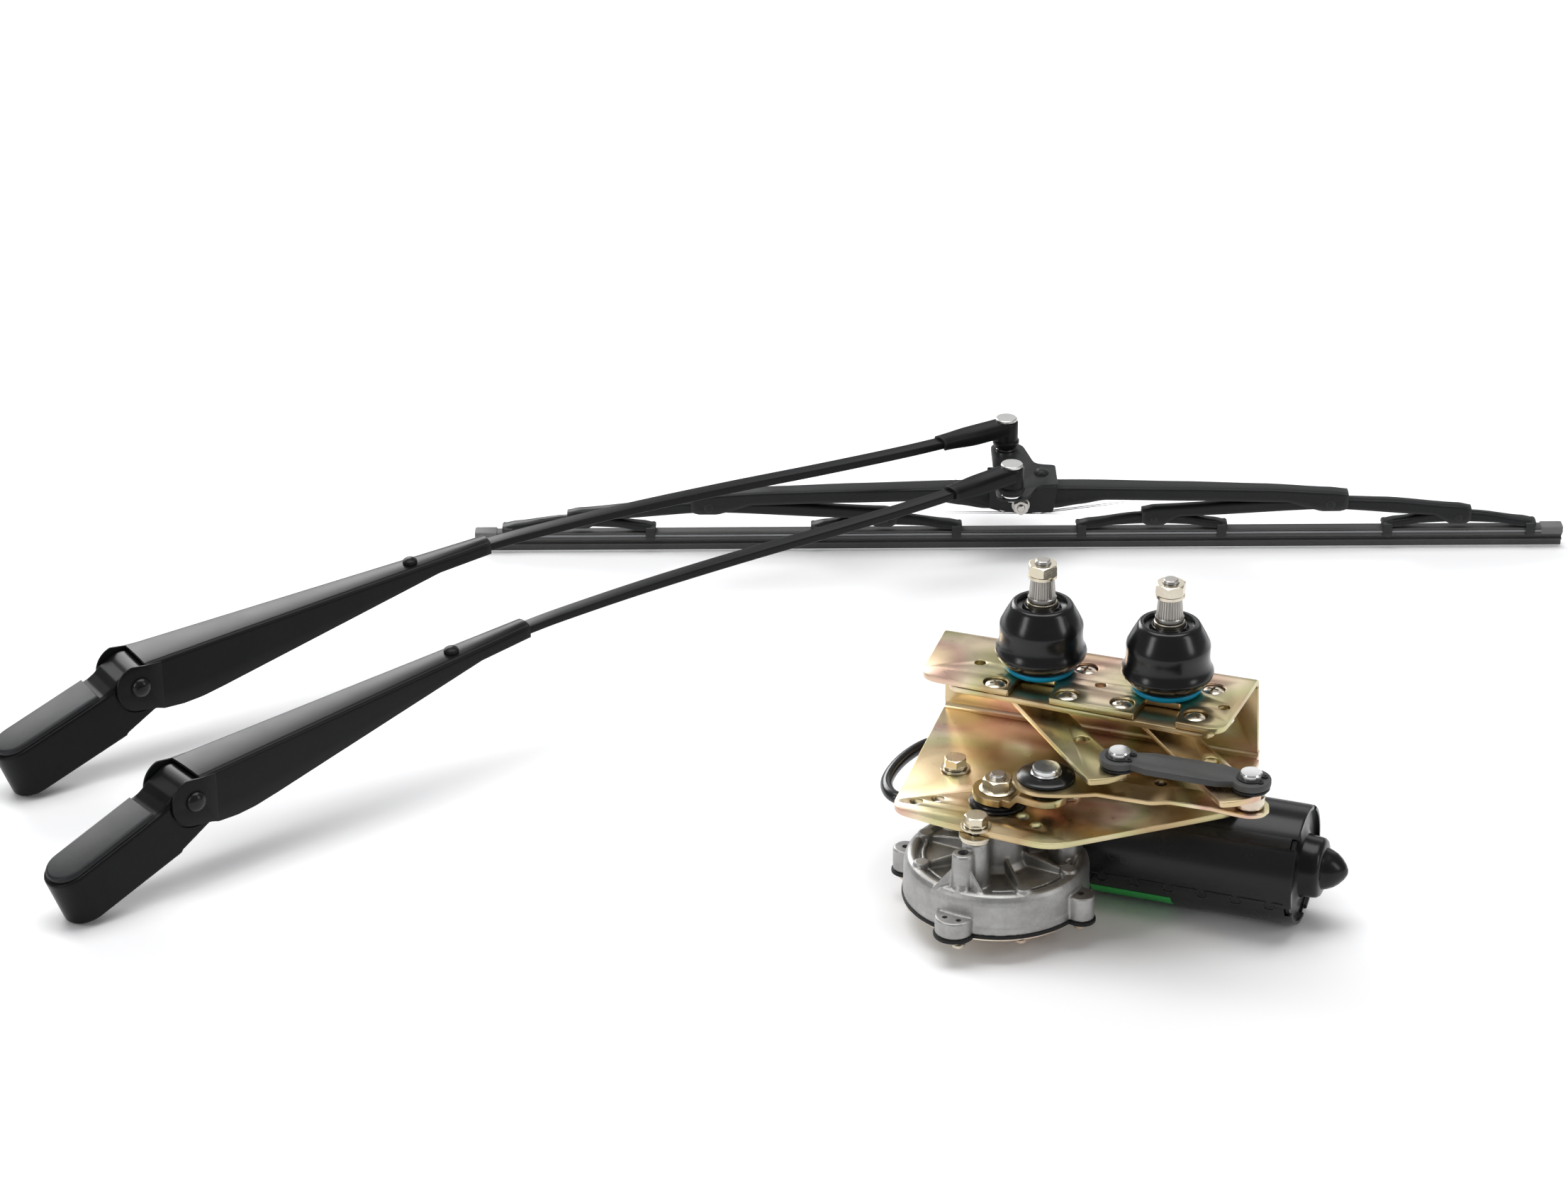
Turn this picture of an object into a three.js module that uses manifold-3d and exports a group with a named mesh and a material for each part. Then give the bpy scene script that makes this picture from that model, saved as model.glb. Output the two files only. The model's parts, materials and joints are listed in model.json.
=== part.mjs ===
// A pantograph windscreen wiper kit for a large vehicle, laid out on a bench: two long wiper arms
// pinned to one blade carrier with an 800 mm blade, and the drive unit that swings them.
// Millimetres, +Z up. The origin is the centre of the underside of the gearbox cover, on the bench.
import * as THREE from "three";
import { mergeVertices } from "three/addons/utils/BufferGeometryUtils.js";
import Module from "manifold-3d";

const wasm = await Module();
wasm.setup();

// ---------------------------------------------------------------- driving dimensions
const GAP = 0.3; // clearance between touching pieces
const PITCH = 82; // distance between the two spindles, and between the two arm pins
const DRIVE_TURN = THREE.MathUtils.degToRad(-20.4); // the drive unit lies turned beside the blade
const BLADE_AT = new THREE.Vector3(42, 533, 0); // blade centre on the bench
const REAR_TURN = THREE.MathUtils.degToRad(31.6); // each arm's heading, turned from the blade
const FRONT_TURN = THREE.MathUtils.degToRad(39.1);

// blade
const HALF_BLADE = 400;
const SECONDARY_X = 228; // main bridge to secondary bridge pin
const YOKE_X = [99, 323]; // secondary bridge to yoke pins
const YOKE_SPANS = [[46, 149], [271, 376]]; // claw centres of each yoke
const RUBBER_HEAD = { low: 11.5, high: 16, half: 4.75 };

// arms, measured along the arm from the tip pin
const CHANNEL_START = 435;
const CHANNEL_END = 699;
const HINGE = { s: 703.7, z: 62.8 };
const HEAD_SLOPE = THREE.MathUtils.degToRad(21);
const HEAD_LENGTH = 104;
const HEAD_TOP = 10.6; // top face above the hinge axis, square to the face
const HEAD_DEPTH = 38;
const TIP_PIN = { x: -8, rear: PITCH / 2 + 5.5, front: 5.5 - PITCH / 2 };

// drive unit, in its own frame: x along the bracket, y toward the back, z up
const SPINDLE = [{ x: 2, y: 79 }, { x: 2 + PITCH, y: 79 }];
const LEVER_REACH = { x: 75, y: -80 }; // spindle to link pin
const CRANK = { x: 32, y: -4 };
const PLATE = { low: 77, high: 81 };
const FLANGE = { low: 132, high: 136 };
const CARRIER = { low: 128, high: 131.6 };
const LEVER = { low: 117, high: 121 };
const SYNC = { low: 125, high: 127.6 };
const DRIVE_LINK = { low: 103.6, high: 106.6 };
const CASE = { radius: 58, low: 19.5, floor: 43.8, rim: 45.8 };
const MOTOR = { y: 62, z: 38, radius: 38, start: 48.4, end: 180 };
const WORM_TEETH = 45;
const SPARE_POST = { x: -7.5, y: -45, radius: 7, top: 68 };
const LUGS = [
  { from: { x: -8.5, y: -46 }, to: { x: -8.5, y: -58 }, reach: 12, top: 31 },
  { from: { x: 44, y: -11 }, to: { x: 60, y: -15 }, reach: 8, top: 36 },
  { from: { x: -46, y: 4 }, to: { x: -65, y: 5.6 }, reach: 8, top: 35 },
];
const BOLTS = [[-38, 32], [-3, -34], [38, 24]];

// ---------------------------------------------------------------- finishes
const finish = (color, roughness, metalness) =>
  new THREE.MeshStandardMaterial({ color, roughness, metalness });
const yellowZinc = finish(0xb99a4a, 0.38, 0.9);
const paleZinc = finish(0xb9a98c, 0.35, 0.9);
const brightSteel = finish(0xb8b8b8, 0.25, 1);
const blackPaint = finish(0x121314, 0.5, 0.1);
const bladePaint = finish(0x1b1b1c, 0.7, 0.1);
const blackRubber = finish(0x141415, 0.45, 0);
const wiperRubber = finish(0x2a2725, 0.75, 0);
const castAlloy = finish(0x8d8f90, 0.55, 0.85);
const canPaint = finish(0x18191a, 0.35, 0.2);
const darkBar = finish(0x2c2e30, 0.6, 0.4);
const gearPlastic = finish(0xd8d2c0, 0.5, 0);
const copper = finish(0x9a5a32, 0.4, 0.8);

// ---------------------------------------------------------------- solids
const { sin, cos, PI, hypot, atan2 } = Math;
const WELDS = [1e-4, 3.3e-4, 7.1e-4, 1.9e-3];

function solidOf(geometry) {
  const bare = geometry.clone();
  for (const name of Object.keys(bare.attributes)) {
    if (name !== "position") bare.deleteAttribute(name);
  }
  // Vertices are welded on a grid. Where a shared vertex falls between two cells, another grid size welds it.
  for (const tolerance of WELDS) {
    const merged = mergeVertices(bare, tolerance);
    const vertProperties = merged.attributes.position.array;
    try {
      return new wasm.Manifold(new wasm.Mesh({ numProp: 3, vertProperties, triVerts: merged.index.array }));
    } catch (problem) {
      if (tolerance === WELDS.at(-1)) throw problem;
    }
  }
}

function geometryOf(solid) {
  const mesh = solid.getMesh();
  const geometry = new THREE.BufferGeometry();
  geometry.setAttribute("position", new THREE.BufferAttribute(new Float32Array(mesh.vertProperties), 3));
  geometry.setIndex(new THREE.BufferAttribute(new Uint32Array(mesh.triVerts), 1));
  geometry.computeVertexNormals();
  return geometry;
}

function joined(...geometries) {
  return geometryOf(geometries.map(solidOf).reduce((sum, next) => sum.add(next)));
}

function cut(geometry, ...tools) {
  return geometryOf(tools.map(solidOf).reduce((rest, tool) => rest.subtract(tool), solidOf(geometry)));
}

function common(first, second) {
  return geometryOf(solidOf(first).intersect(solidOf(second)));
}

const moved = (geometry, x, y, z) => geometry.clone().translate(x, y, z);

// A flat outline with rounded corners: each corner is [x, y] or [x, y, how far its rounding reaches].
function outline(corners) {
  const shape = new THREE.Shape();
  corners.forEach(([x, y, round = 0], i) => {
    const before = corners[(i + corners.length - 1) % corners.length];
    const after = corners[(i + 1) % corners.length];
    const toward = (other) => {
      const length = hypot(other[0] - x, other[1] - y);
      return [x + ((other[0] - x) * round) / length, y + ((other[1] - y) * round) / length];
    };
    const from = toward(before);
    if (i === 0) shape.moveTo(...from);
    else shape.lineTo(...from);
    if (round > 0) shape.quadraticCurveTo(x, y, ...toward(after));
  });
  shape.closePath();
  return shape;
}

// An outline raised from z = low to z = high.
function raised(shape, low, high, curveSegments = 2) {
  const options = { depth: high - low, bevelEnabled: false, curveSegments };
  return new THREE.ExtrudeGeometry(shape, options).translate(0, 0, low);
}

// A side profile drawn in x and z, and extruded along y to both sides of zero.
function sideways(shape, halfWidth, curveSegments = 2) {
  return raised(shape, -halfWidth, halfWidth, curveSegments).rotateX(PI / 2);
}

// A profile of [radius, height] points turned about the z axis. It closes on itself, or ends on the axis.
function turned(profile, segments = 16) {
  const onAxis = profile[0][0] === 0;
  const ring = onAxis ? profile : [...profile, profile[0]];
  const build = (list) =>
    new THREE.LatheGeometry(list.map(([r, z]) => new THREE.Vector2(r, z)), segments).rotateX(PI / 2);
  const geometry = build(ring);
  return solidOf(geometry).volume() > 0 ? geometry : build([...ring].reverse());
}

const rod = (radius, low, high, segments = 12) =>
  turned([[0, low], [radius, low], [radius, high], [0, high]], segments);
const pipe = (outer, inner, low, high, segments = 16) =>
  turned([[inner, low], [outer, low], [outer, high], [inner, high]], segments);
const hexagon = (across, low, high) => rod(across / 2 / cos(PI / 6), low, high, 6);
const block = (x0, x1, y0, y1, z0, z1) =>
  new THREE.BoxGeometry(x1 - x0, y1 - y0, z1 - z0).translate((x0 + x1) / 2, (y0 + y1) / 2, (z0 + z1) / 2);
const alongX = (geometry) => geometry.rotateY(PI / 2);
const alongY = (geometry) => geometry.rotateX(-PI / 2);

function disc(x, y, radius) {
  return new THREE.Shape().absarc(x, y, radius, 0, 2 * PI, false);
}

// A bar with round ends between two points of the plan.
function slot(from, to, radius) {
  const angle = atan2(to.y - from.y, to.x - from.x);
  const shape = new THREE.Shape();
  shape.absarc(from.x, from.y, radius, angle + PI / 2, angle + 1.5 * PI, false);
  shape.absarc(to.x, to.y, radius, angle - PI / 2, angle + PI / 2, false);
  shape.closePath();
  return shape;
}

// A hollow section open below: a side profile cut to a plan outline, less the same one thickness in.
function openChannel(side, plan, innerSide, innerPlan, reach, top) {
  const outer = common(sideways(side, reach), raised(plan, -10, top));
  const inner = common(sideways(innerSide, reach), raised(innerPlan, -20, top));
  return cut(outer, inner);
}

const kit = new THREE.Group();
const drive = new THREE.Group();
drive.rotation.z = DRIVE_TURN;
const wiper = new THREE.Group();
wiper.position.copy(BLADE_AT);
kit.add(drive, wiper);

function piece(group, name, geometry, material) {
  const mesh = new THREE.Mesh(geometry, material);
  mesh.name = name;
  group.add(mesh);
}

// ---------------------------------------------------------------- gearbox
function gearbox() {
  const { radius, low, floor, rim } = CASE;
  const tunnelRadius = 17;
  const cavity = { radius: 55.2, top: 41.6 };
  const barrel = turned([
    [0, low], [radius, low], [radius, rim - 4], [radius - 3, rim], [radius - 9, rim], [radius - 11, floor], [0, floor],
  ], 32);
  const tunnel = moved(alongX(rod(tunnelRadius, -46, 47, 20)), 0, MOTOR.y, MOTOR.z);
  const mouth = moved(alongX(rod(MOTOR.radius + 0.5, 40, MOTOR.start - GAP, 24)), 0, MOTOR.y, MOTOR.z);
  const skirt = block(-44, 44, 40, MOTOR.y + tunnelRadius, low, MOTOR.z);
  const hub = turned([[0, 40], [19, 40], [15, 60], [13, PLATE.low - GAP], [0, PLATE.low - GAP]], 20);
  const posts = BOLTS.map(([x, y]) => moved(rod(8.5, 40, PLATE.low - GAP, 12), x, y, 0));
  const lugs = LUGS.map(({ from, to, reach, top }) => raised(slot(from, to, reach), low, top));
  const spare = moved(rod(SPARE_POST.radius, low, SPARE_POST.top), SPARE_POST.x, SPARE_POST.y, 0);
  const ribs = [];
  for (let i = 0; i < 8; i++) {
    const rib = block(14, 50, -1.3, 1.3, 43, 47.5).rotateZ((i * PI) / 4 - 0.14);
    ribs.push(rib);
  }
  const body = joined(barrel, tunnel, mouth, skirt, hub, ...posts, ...lugs, spare, ...ribs);
  const hollow = joined(
    rod(cavity.radius, low - 1, cavity.top, 32),
    moved(alongX(rod(9.5, -40, MOTOR.start, 12)), 0, MOTOR.y, MOTOR.z),
  );
  const bores = [
    rod(6.4, 20, 90),
    ...BOLTS.map(([x, y]) => moved(rod(4.4, 50, 90, 10), x, y, 0)),
    ...LUGS.map(({ to }) => moved(rod(2.4, low - 1, 40, 8), to.x, to.y, 0)),
    moved(rod(3.4, 52, 70, 8), SPARE_POST.x, SPARE_POST.y, 0),
    rod(radius + 1.2, -5, low, 32),
    block(-80, 80, 10, 110, -10, 0.4),
    moved(alongX(rod(MOTOR.radius + GAP, MOTOR.start - GAP, 80, 24)), 0, MOTOR.y, MOTOR.z),
  ];
  piece(drive, "gearbox_housing", cut(body, hollow, ...bores), castAlloy);

  const canRoom = moved(alongX(rod(MOTOR.radius + GAP, MOTOR.start - GAP, 80, 24)), 0, MOTOR.y, MOTOR.z);
  const gasketTop = low - GAP;
  const gasketLow = 17.3;
  const seal = joined(
    rod(radius + 0.8, gasketLow, gasketTop, 32),
    ...LUGS.map(({ from, to, reach }) => raised(slot(from, to, reach + 0.8), gasketLow, gasketTop)),
  );
  piece(drive, "gearbox_gasket", cut(seal, rod(47, 0, 20, 32), canRoom), blackRubber);
  const cover = [
    [0, 0], [20, 0], [21, 12], [46, 14.4], [radius, 14.4], [radius, 17], [44, 17], [18, 14.6], [17, 2.6], [0, 2.6],
  ];
  piece(drive, "gearbox_cover", cut(turned(cover, 32), canRoom), paleZinc);
}

function wormDrive() {
  const shaft = alongX(rod(4, -36, 176, 20));
  const thread = alongX(rod(8, -22, 22, 20));
  piece(drive, "worm_shaft", moved(joined(shaft, thread), 0, MOTOR.y, MOTOR.z), brightSteel);
  const core = alongX(pipe(26, 4 + GAP, 70, 150, 20));
  const commutator = alongX(pipe(11, 4 + GAP, 56, 70.2, 20));
  piece(drive, "armature", moved(joined(core, commutator), 0, MOTOR.y, MOTOR.z), copper);

  const wheelRadius = 53.4;
  const toothDepth = 2.6;
  const crown = [];
  for (let i = 0; i < 2 * WORM_TEETH; i++) {
    const radius = wheelRadius - (i % 2) * toothDepth;
    const angle = (i * PI) / WORM_TEETH;
    crown.push([radius * cos(angle), radius * sin(angle)]);
  }
  const wheel = joined(raised(outline(crown), 34, 41.2), rod(13, 24, 41.2));
  piece(drive, "worm_wheel", cut(wheel, rod(6.3, 20, 45)), gearPlastic);
}

function motor() {
  const { radius, start, end } = MOTOR;
  const wall = 2;
  const profile = [
    [0, 212], [7, 210.5], [12, 205], [12, 199], [19.5, 199], [19.5, 184], [radius - 3, 184], [radius, 181],
    [radius, start], [radius - wall, start], [radius - wall, end - 2], [9, end - 2], [9, 190], [0, 190],
  ];
  piece(drive, "motor_can", moved(alongX(turned(profile, 24)), 0, MOTOR.y, MOTOR.z), canPaint);
  const magnet = alongX(pipe(radius - wall - GAP, 28, 66, 156, 24));
  piece(drive, "field_magnet", moved(magnet, 0, MOTOR.y, MOTOR.z), darkBar);
  const card = alongX(pipe(radius - wall - GAP, 13, 52, 55, 24));
  const holders = [1, -1].map((side) => block(55, 62, -4, 4, side * 20 - 6, side * 20 + 6));
  piece(drive, "brush_card", moved(joined(card, ...holders), 0, MOTOR.y, MOTOR.z), blackPaint);
}

// ---------------------------------------------------------------- bracket
function bracket() {
  const back = 115;
  const plate = outline([[-72, back, 3], [-58, -30, 14], [-20, -36, 18], [46, -40, 10], [144, 41, 14], [138, back, 3]]);
  const flange = outline([
    [-72, back, 3], [-66, 47, 12], [-12, 45, 4], [-7, 56, 5], [11, 56, 5], [16, 45, 4],
    [70, 45, 4], [75, 56, 5], [93, 56, 5], [98, 45, 4], [129, 47, 12], [135, back, 3],
  ]);
  const lower = raised(plate, PLATE.low, PLATE.high);
  const upper = raised(flange, FLANGE.low, FLANGE.high);
  const web = block(-70, 134, back - 3.6, back, PLATE.low + 1, FLANGE.high - 1);
  const holes = [
    rod(9, 70, 90),
    ...BOLTS.map(([x, y]) => moved(rod(4.4, 70, 90, 10), x, y, 0)),
    ...[[-45, -10], [30, -22]].map(([x, y]) => moved(rod(3.4, 70, 90, 8), x, y, 0)),
    ...SPINDLE.map(({ x, y }) => moved(rod(10.3, 120, 140), x, y, 0)),
    ...[-40, 43, 118].map((x) => moved(rod(3.2, 120, 140, 8), x, 92, 0)),
    raised(slot({ x: 96, y: 0 }, { x: 112, y: 0 }, 9), -5, 10).rotateX(PI / 2).translate(0, back, 106),
  ];
  piece(drive, "bracket", cut(joined(lower, upper, web), ...holes), yellowZinc);

  const carrier = outline([[-60, 104, 8], [-52, 50, 10], [20, 46, 8], [64, 46, 8], [122, 50, 10], [126, 104, 8]]);
  const bores = SPINDLE.map(({ x, y }) => moved(rod(10.3, 120, 140), x, y, 0));
  piece(drive, "carrier_plate", cut(raised(carrier, CARRIER.low, CARRIER.high), ...bores), yellowZinc);

  BOLTS.forEach(([x, y], i) => {
    const bolt = joined(rod(3.9, 53, 82, 10), rod(9.5, PLATE.high + GAP, 83.2), hexagon(13, 83, 88.5));
    piece(drive, "mount_bolt_" + (i + 1), moved(bolt, x, y, 0), paleZinc);
  });
  piece(drive, "output_seal", pipe(17, 6.4, PLATE.high + GAP, 85.6), blackRubber);
}

// ---------------------------------------------------------------- crank, spindles and links
function crank() {
  const shaft = turned([[0, 18], [6, 18], [6, 89], [5, 90.5], [5, 101], [0, 101]], 12);
  piece(drive, "output_shaft", shaft, brightSteel);

  const side = outline([[-14, 86.2], [13, 86.2], [21, 95], [48, 95], [48, 99], [18, 99], [10, 90.2], [-14, 90.2]]);
  const plan = slot({ x: 0, y: 0 }, { x: 32.2, y: 0 }, 13.5);
  const arm = cut(common(sideways(side, 20), raised(plan, 80, 110, 8)), rod(6.3, 80, 100), moved(rod(5.3, 90, 105), 32.2, 0, 0));
  piece(drive, "crank_arm", arm.rotateZ(atan2(CRANK.y, CRANK.x)), yellowZinc);
  piece(drive, "crank_nut", cut(hexagon(17, 90.5, 98), rod(5.3, 80, 110)), paleZinc);
  const pin = joined(rod(5, 92, 103), rod(17, 99.3, 102.6, 24));
  piece(drive, "crank_pin", moved(pin, CRANK.x, CRANK.y, 0), brightSteel);
}

function spindles() {
  const boot = [
    [10.4, 136.3], [24, 136.3], [24, 140], [26.6, 145], [28.4, 152], [26, 160], [25.4, 172], [22, 178],
    [18, 182], [15, 179], [10.4, 179],
  ];
  const shaft = [
    [0, 111], [6, 111], [6, 184.4], [9, 184.4], [9, 187], [8, 187], [7.3, 199.6], [5, 199.6], [5, 211], [4, 212], [0, 212],
  ];
  SPINDLE.forEach(({ x, y }, i) => {
    const side = ["left", "right"][i];
    piece(drive, "spindle_bush_" + side, moved(pipe(9.6, 6.3, 122, 183.9), x, y, 0), paleZinc);
    piece(drive, "boot_" + side, moved(turned(boot, 16), x, y, 0), blackRubber);
    piece(drive, "spindle_" + side, moved(turned(shaft, 12), x, y, 0), brightSteel);
    piece(drive, "spindle_nut_" + side, moved(cut(hexagon(17, 200, 209), rod(5.3, 190, 220)), x, y, 0), paleZinc);

    const pin = { x: x + LEVER_REACH.x, y: y + LEVER_REACH.y };
    const bar = outline([
      [x - 17, y + 2, 6], [x - 2, y + 17, 8], [x + 15, y + 6, 6],
      [pin.x + 16, pin.y + 4, 6], [pin.x + 5, pin.y - 14, 8], [pin.x - 11, pin.y - 9, 6],
    ]);
    const lever = cut(
      raised(bar, LEVER.low, LEVER.high),
      moved(rod(6.3, 110, 130), x, y, 0),
      moved(rod(5.3, 110, 130), pin.x, pin.y, 0),
    );
    piece(drive, "lever_" + side, lever, yellowZinc);
    const foot = i === 0 ? 113 : 102;
    const linkPin = joined(rod(5, foot, 130), rod(7.5, LEVER.high + GAP, SYNC.low - GAP), rod(6.8, SYNC.high + GAP, 131.6));
    piece(drive, "link_pin_" + side, moved(linkPin, pin.x, pin.y, 0), brightSteel);
  });

  const [left, right] = SPINDLE.map(({ x, y }) => ({ x: x + LEVER_REACH.x, y: y + LEVER_REACH.y }));
  const sync = cut(
    raised(slot(left, right, 10), SYNC.low, SYNC.high, 8),
    ...[left, right].map(({ x, y }) => moved(rod(5.3, 120, 135), x, y, 0)),
  );
  piece(drive, "sync_link", sync, darkBar);

  const link = joined(
    raised(slot(CRANK, right, 11), DRIVE_LINK.low, DRIVE_LINK.high, 8),
    moved(rod(18, DRIVE_LINK.low, 109.6, 24), CRANK.x, CRANK.y, 0),
    moved(rod(8.5, 109, 114), CRANK.x, CRANK.y, 0),
  );
  piece(drive, "drive_link", cut(link, moved(rod(5.3, 100, 120), right.x, right.y, 0)), yellowZinc);
}

// ---------------------------------------------------------------- lead
function lead() {
  const route = [
    [-50.2, 62, 43], [-56, 61, 44], [-60, 50, 51], [-58, 34, 58], [-62, 22, 61], [-70, 17, 62], [-78, 22, 62],
    [-84, 34, 62], [-85, 50, 63], [-82, 68, 64], [-75, 84, 65], [-63, 96, 66], [-52, 99, 68], [-46.6, 99, 68],
  ];
  const path = new THREE.CatmullRomCurve3(route.map(([x, y, z]) => new THREE.Vector3(x, y, z)));
  const cable = new THREE.ExtrudeGeometry(disc(0, 0, 3.6), { steps: 36, curveSegments: 2, extrudePath: path });
  piece(drive, "lead", cable, blackRubber);
  const gland = joined(alongX(rod(5, -49.4, -47)), alongX(rod(6.5, -47.6, -46.3)));
  piece(drive, "lead_gland", moved(gland, 0, MOTOR.y, 43), blackRubber);
  piece(drive, "lead_connector", block(-46.2, -24, 90, 108, 61, PLATE.low - GAP), blackPaint);
}

// ---------------------------------------------------------------- wiper arms
function armGroup(side, turn) {
  const group = new THREE.Group();
  group.position.set(TIP_PIN.x, TIP_PIN[side], 0);
  group.rotation.z = PI + turn;
  wiper.add(group);
  return group;
}

const channelTop = (s) => 96.5 - ((s - CHANNEL_START) * 18.1) / 264;
const channelHalf = (s) => 7.4 + ((s - CHANNEL_START) * 10.6) / 264;

function channel(group, side) {
  const wall = 1.7;
  const lobe = 17;
  const profile = new THREE.Shape();
  profile.moveTo(CHANNEL_START, channelTop(CHANNEL_START));
  profile.lineTo(CHANNEL_START, channelTop(CHANNEL_START) - 9);
  profile.lineTo(476, channelTop(476) - 9.6);
  profile.lineTo(656, 44);
  profile.quadraticCurveTo(682, 37, 698.4, 46.6);
  profile.absarc(HINGE.s, HINGE.z, lobe, -PI * 0.6, PI * 0.42, false);
  profile.lineTo(CHANNEL_END, channelTop(CHANNEL_END));
  profile.closePath();
  const end = HINGE.s + lobe + 1;
  const plan = (inset, from) => outline([
    [from, -channelHalf(CHANNEL_START) + inset], [CHANNEL_END, -channelHalf(CHANNEL_END) + inset], [end, -18 + inset],
    [end, 18 - inset], [CHANNEL_END, channelHalf(CHANNEL_END) - inset], [from, channelHalf(CHANNEL_START) - inset],
  ]);
  const under = outline([
    [CHANNEL_START - 5, 40], [end + 2, 20], [end + 2, 90], [CHANNEL_END, 90], [CHANNEL_END, channelTop(CHANNEL_END) - wall],
    [CHANNEL_START - 5, channelTop(CHANNEL_START - 5) - wall],
  ]);
  const shell = openChannel(profile, plan(0, CHANNEL_START), under, plan(wall, CHANNEL_START - 6), 30, 120);
  const bore = moved(alongY(rod(4.2, -30, 30)), HINGE.s, 0, HINGE.z);
  piece(group, "arm_channel_" + side, cut(shell, bore), blackPaint);
}

function armRod(group, side) {
  const route = [[40, 77], [90, 78.2], [160, 81.6], [240, 86.4], [320, 90], [390, 91.4], [440, 90.6], [528, 84.6]];
  const path = new THREE.CatmullRomCurve3(route.map(([s, z]) => new THREE.Vector3(s, 0, z)));
  const section = outline([[-5.3, -2.7], [5.3, -2.7], [5.3, 2.7], [-5.3, 2.7]]);
  const bar = new THREE.ExtrudeGeometry(section, { steps: 24, extrudePath: path });
  const sleeve = raised(outline([[0, -8.2], [58.7, -8.4, 2], [58.7, 8.4, 2], [0, 8.2]]), 72.5, 82);
  const boss = rod(8.8, 60.9, 81.6, 24);
  const body = cut(joined(bar, sleeve, boss), rod(5.3, 50, 90), rod(8.4, 81.6, 90, 20));
  piece(group, "arm_rod_" + side, body, blackPaint);
}

// The head's own frame: x down the sloping top face from the hinge axis, z square to that face.
function headPlaced(geometry) {
  return geometry.rotateY(HEAD_SLOPE).translate(HINGE.s, 0, HINGE.z);
}

function head(group, side) {
  const bottom = HEAD_TOP - HEAD_DEPTH;
  const seam = HEAD_TOP - 3.2;
  const profile = new THREE.Shape();
  profile.moveTo(0, -13);
  profile.lineTo(22, bottom);
  profile.lineTo(HEAD_LENGTH, bottom);
  profile.lineTo(HEAD_LENGTH, seam);
  profile.lineTo(26, seam);
  profile.quadraticCurveTo(17, 2.5, 11.5, 6.6);
  profile.absarc(0, 0, 13.2, PI * 0.17, PI * 1.5, false);
  const end = HEAD_LENGTH - 16.5;
  const body = new THREE.Shape();
  body.moveTo(19, -16.8);
  body.lineTo(end, -16.5);
  body.absarc(end, 0, 16.5, -PI / 2, PI / 2, false);
  body.lineTo(19, 16.8);
  body.closePath();
  const plan = joined(raised(body, -40, 20, 10), block(-15, 24, -15.3, 15.3, -40, 20));
  const solid = common(sideways(profile, 20, 8), plan);
  const spindleAt = 78;
  const inner = outline([[24, -13.6, 2], [92, -13.4, 9], [98, 0, 4], [92, 13.4, 9], [24, 13.6, 2]]);
  const hollow = cut(raised(inner, bottom - 1, seam - 4), moved(rod(12, -60, 30, 20), spindleAt, 0, 0));
  const casting = cut(
    solid,
    hollow,
    moved(turned([[0, bottom - 1], [8.4, bottom - 1], [7.6, seam + 1], [0, seam + 1]], 20), spindleAt, 0, 0),
    moved(alongY(rod(4.3, -20, 20)), 0, 0, 0),
  );
  piece(group, "head_casting_" + side, headPlaced(casting), blackPaint);

  const lidPlan = new THREE.Shape();
  lidPlan.moveTo(27, -14);
  lidPlan.lineTo(end, -14);
  lidPlan.absarc(end, 0, 14, -PI / 2, PI / 2, false);
  lidPlan.lineTo(27, 14);
  lidPlan.closePath();
  piece(group, "head_cover_" + side, headPlaced(raised(lidPlan, seam + GAP, HEAD_TOP, 10)), blackPaint);

  const pin = [[0, -19.4], [5.5, -19.4], [5.5, -18.3], [3.9, -18.3], [3.9, 18.3], [5.5, 18.3], [4.4, 20], [0, 20.8]];
  piece(group, "hinge_pin_" + side, moved(alongY(turned(pin, 12)), HINGE.s, 0, HINGE.z), blackPaint);

  const from = new THREE.Vector3(684, 0, 57);
  const to = new THREE.Vector3(566, 0, 74.5);
  const spring = rod(6.2, 0, from.distanceTo(to), 12);
  spring.rotateY(atan2(to.x - from.x, to.z - from.z)).translate(from.x, 0, from.z);
  piece(group, "arm_spring_" + side, spring, brightSteel);
}

// ---------------------------------------------------------------- blade
function bladeCarrier() {
  const plate = outline([[-21, 58, 8], [4, 58, 8], [30, 12, 6], [30, -12, 6], [4, -47, 8], [-21, -47, 8]]);
  const skirt = outline([[-23, 58], [-23, 44, 3], [-10, 36, 4], [10, 36, 4], [27, 44, 3], [27, 58]]);
  const skirts = [-17.2, 14.8].map((y) => raised(skirt, 0, 2.4).rotateX(PI / 2).translate(0, y + 2.4, 0));
  const body = cut(
    joined(raised(plate, 56.6, 58.8), ...skirts, block(16, 27, -17.2, 17.2, 55.2, 58)),
    moved(alongY(rod(3.3, -30, 30, 12)), 0, 0, 43),
    moved(rod(4.3, 50, 65, 12), TIP_PIN.x, TIP_PIN.rear, 0),
    moved(rod(4.3, 50, 65, 12), TIP_PIN.x, TIP_PIN.front, 0),
  );
  piece(wiper, "blade_carrier", body, bladePaint);
  const pin = turned([
    [0, 54.6], [6.5, 54.6], [6.5, 56.3], [4, 56.3], [4, 59.1], [8, 59.1], [8, 60.6], [5, 60.6],
    [5, 81.9], [7.8, 81.9], [7.8, 83.4], [6.8, 84.2], [0, 84.2],
  ], 12);
  for (const side of ["rear", "front"]) {
    piece(wiper, "tip_pin_" + side, moved(pin, TIP_PIN.x, TIP_PIN[side], 0), brightSteel);
  }
  const bolt = joined(rod(3, -19, 26, 12), hexagon(10, -22, -17.5), rod(6.5, 17.5, 19), hexagon(10, 19, 25));
  piece(wiper, "pivot_bolt", moved(alongY(bolt.rotateX(PI)), 0, 0, 43), brightSteel);
}

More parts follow.
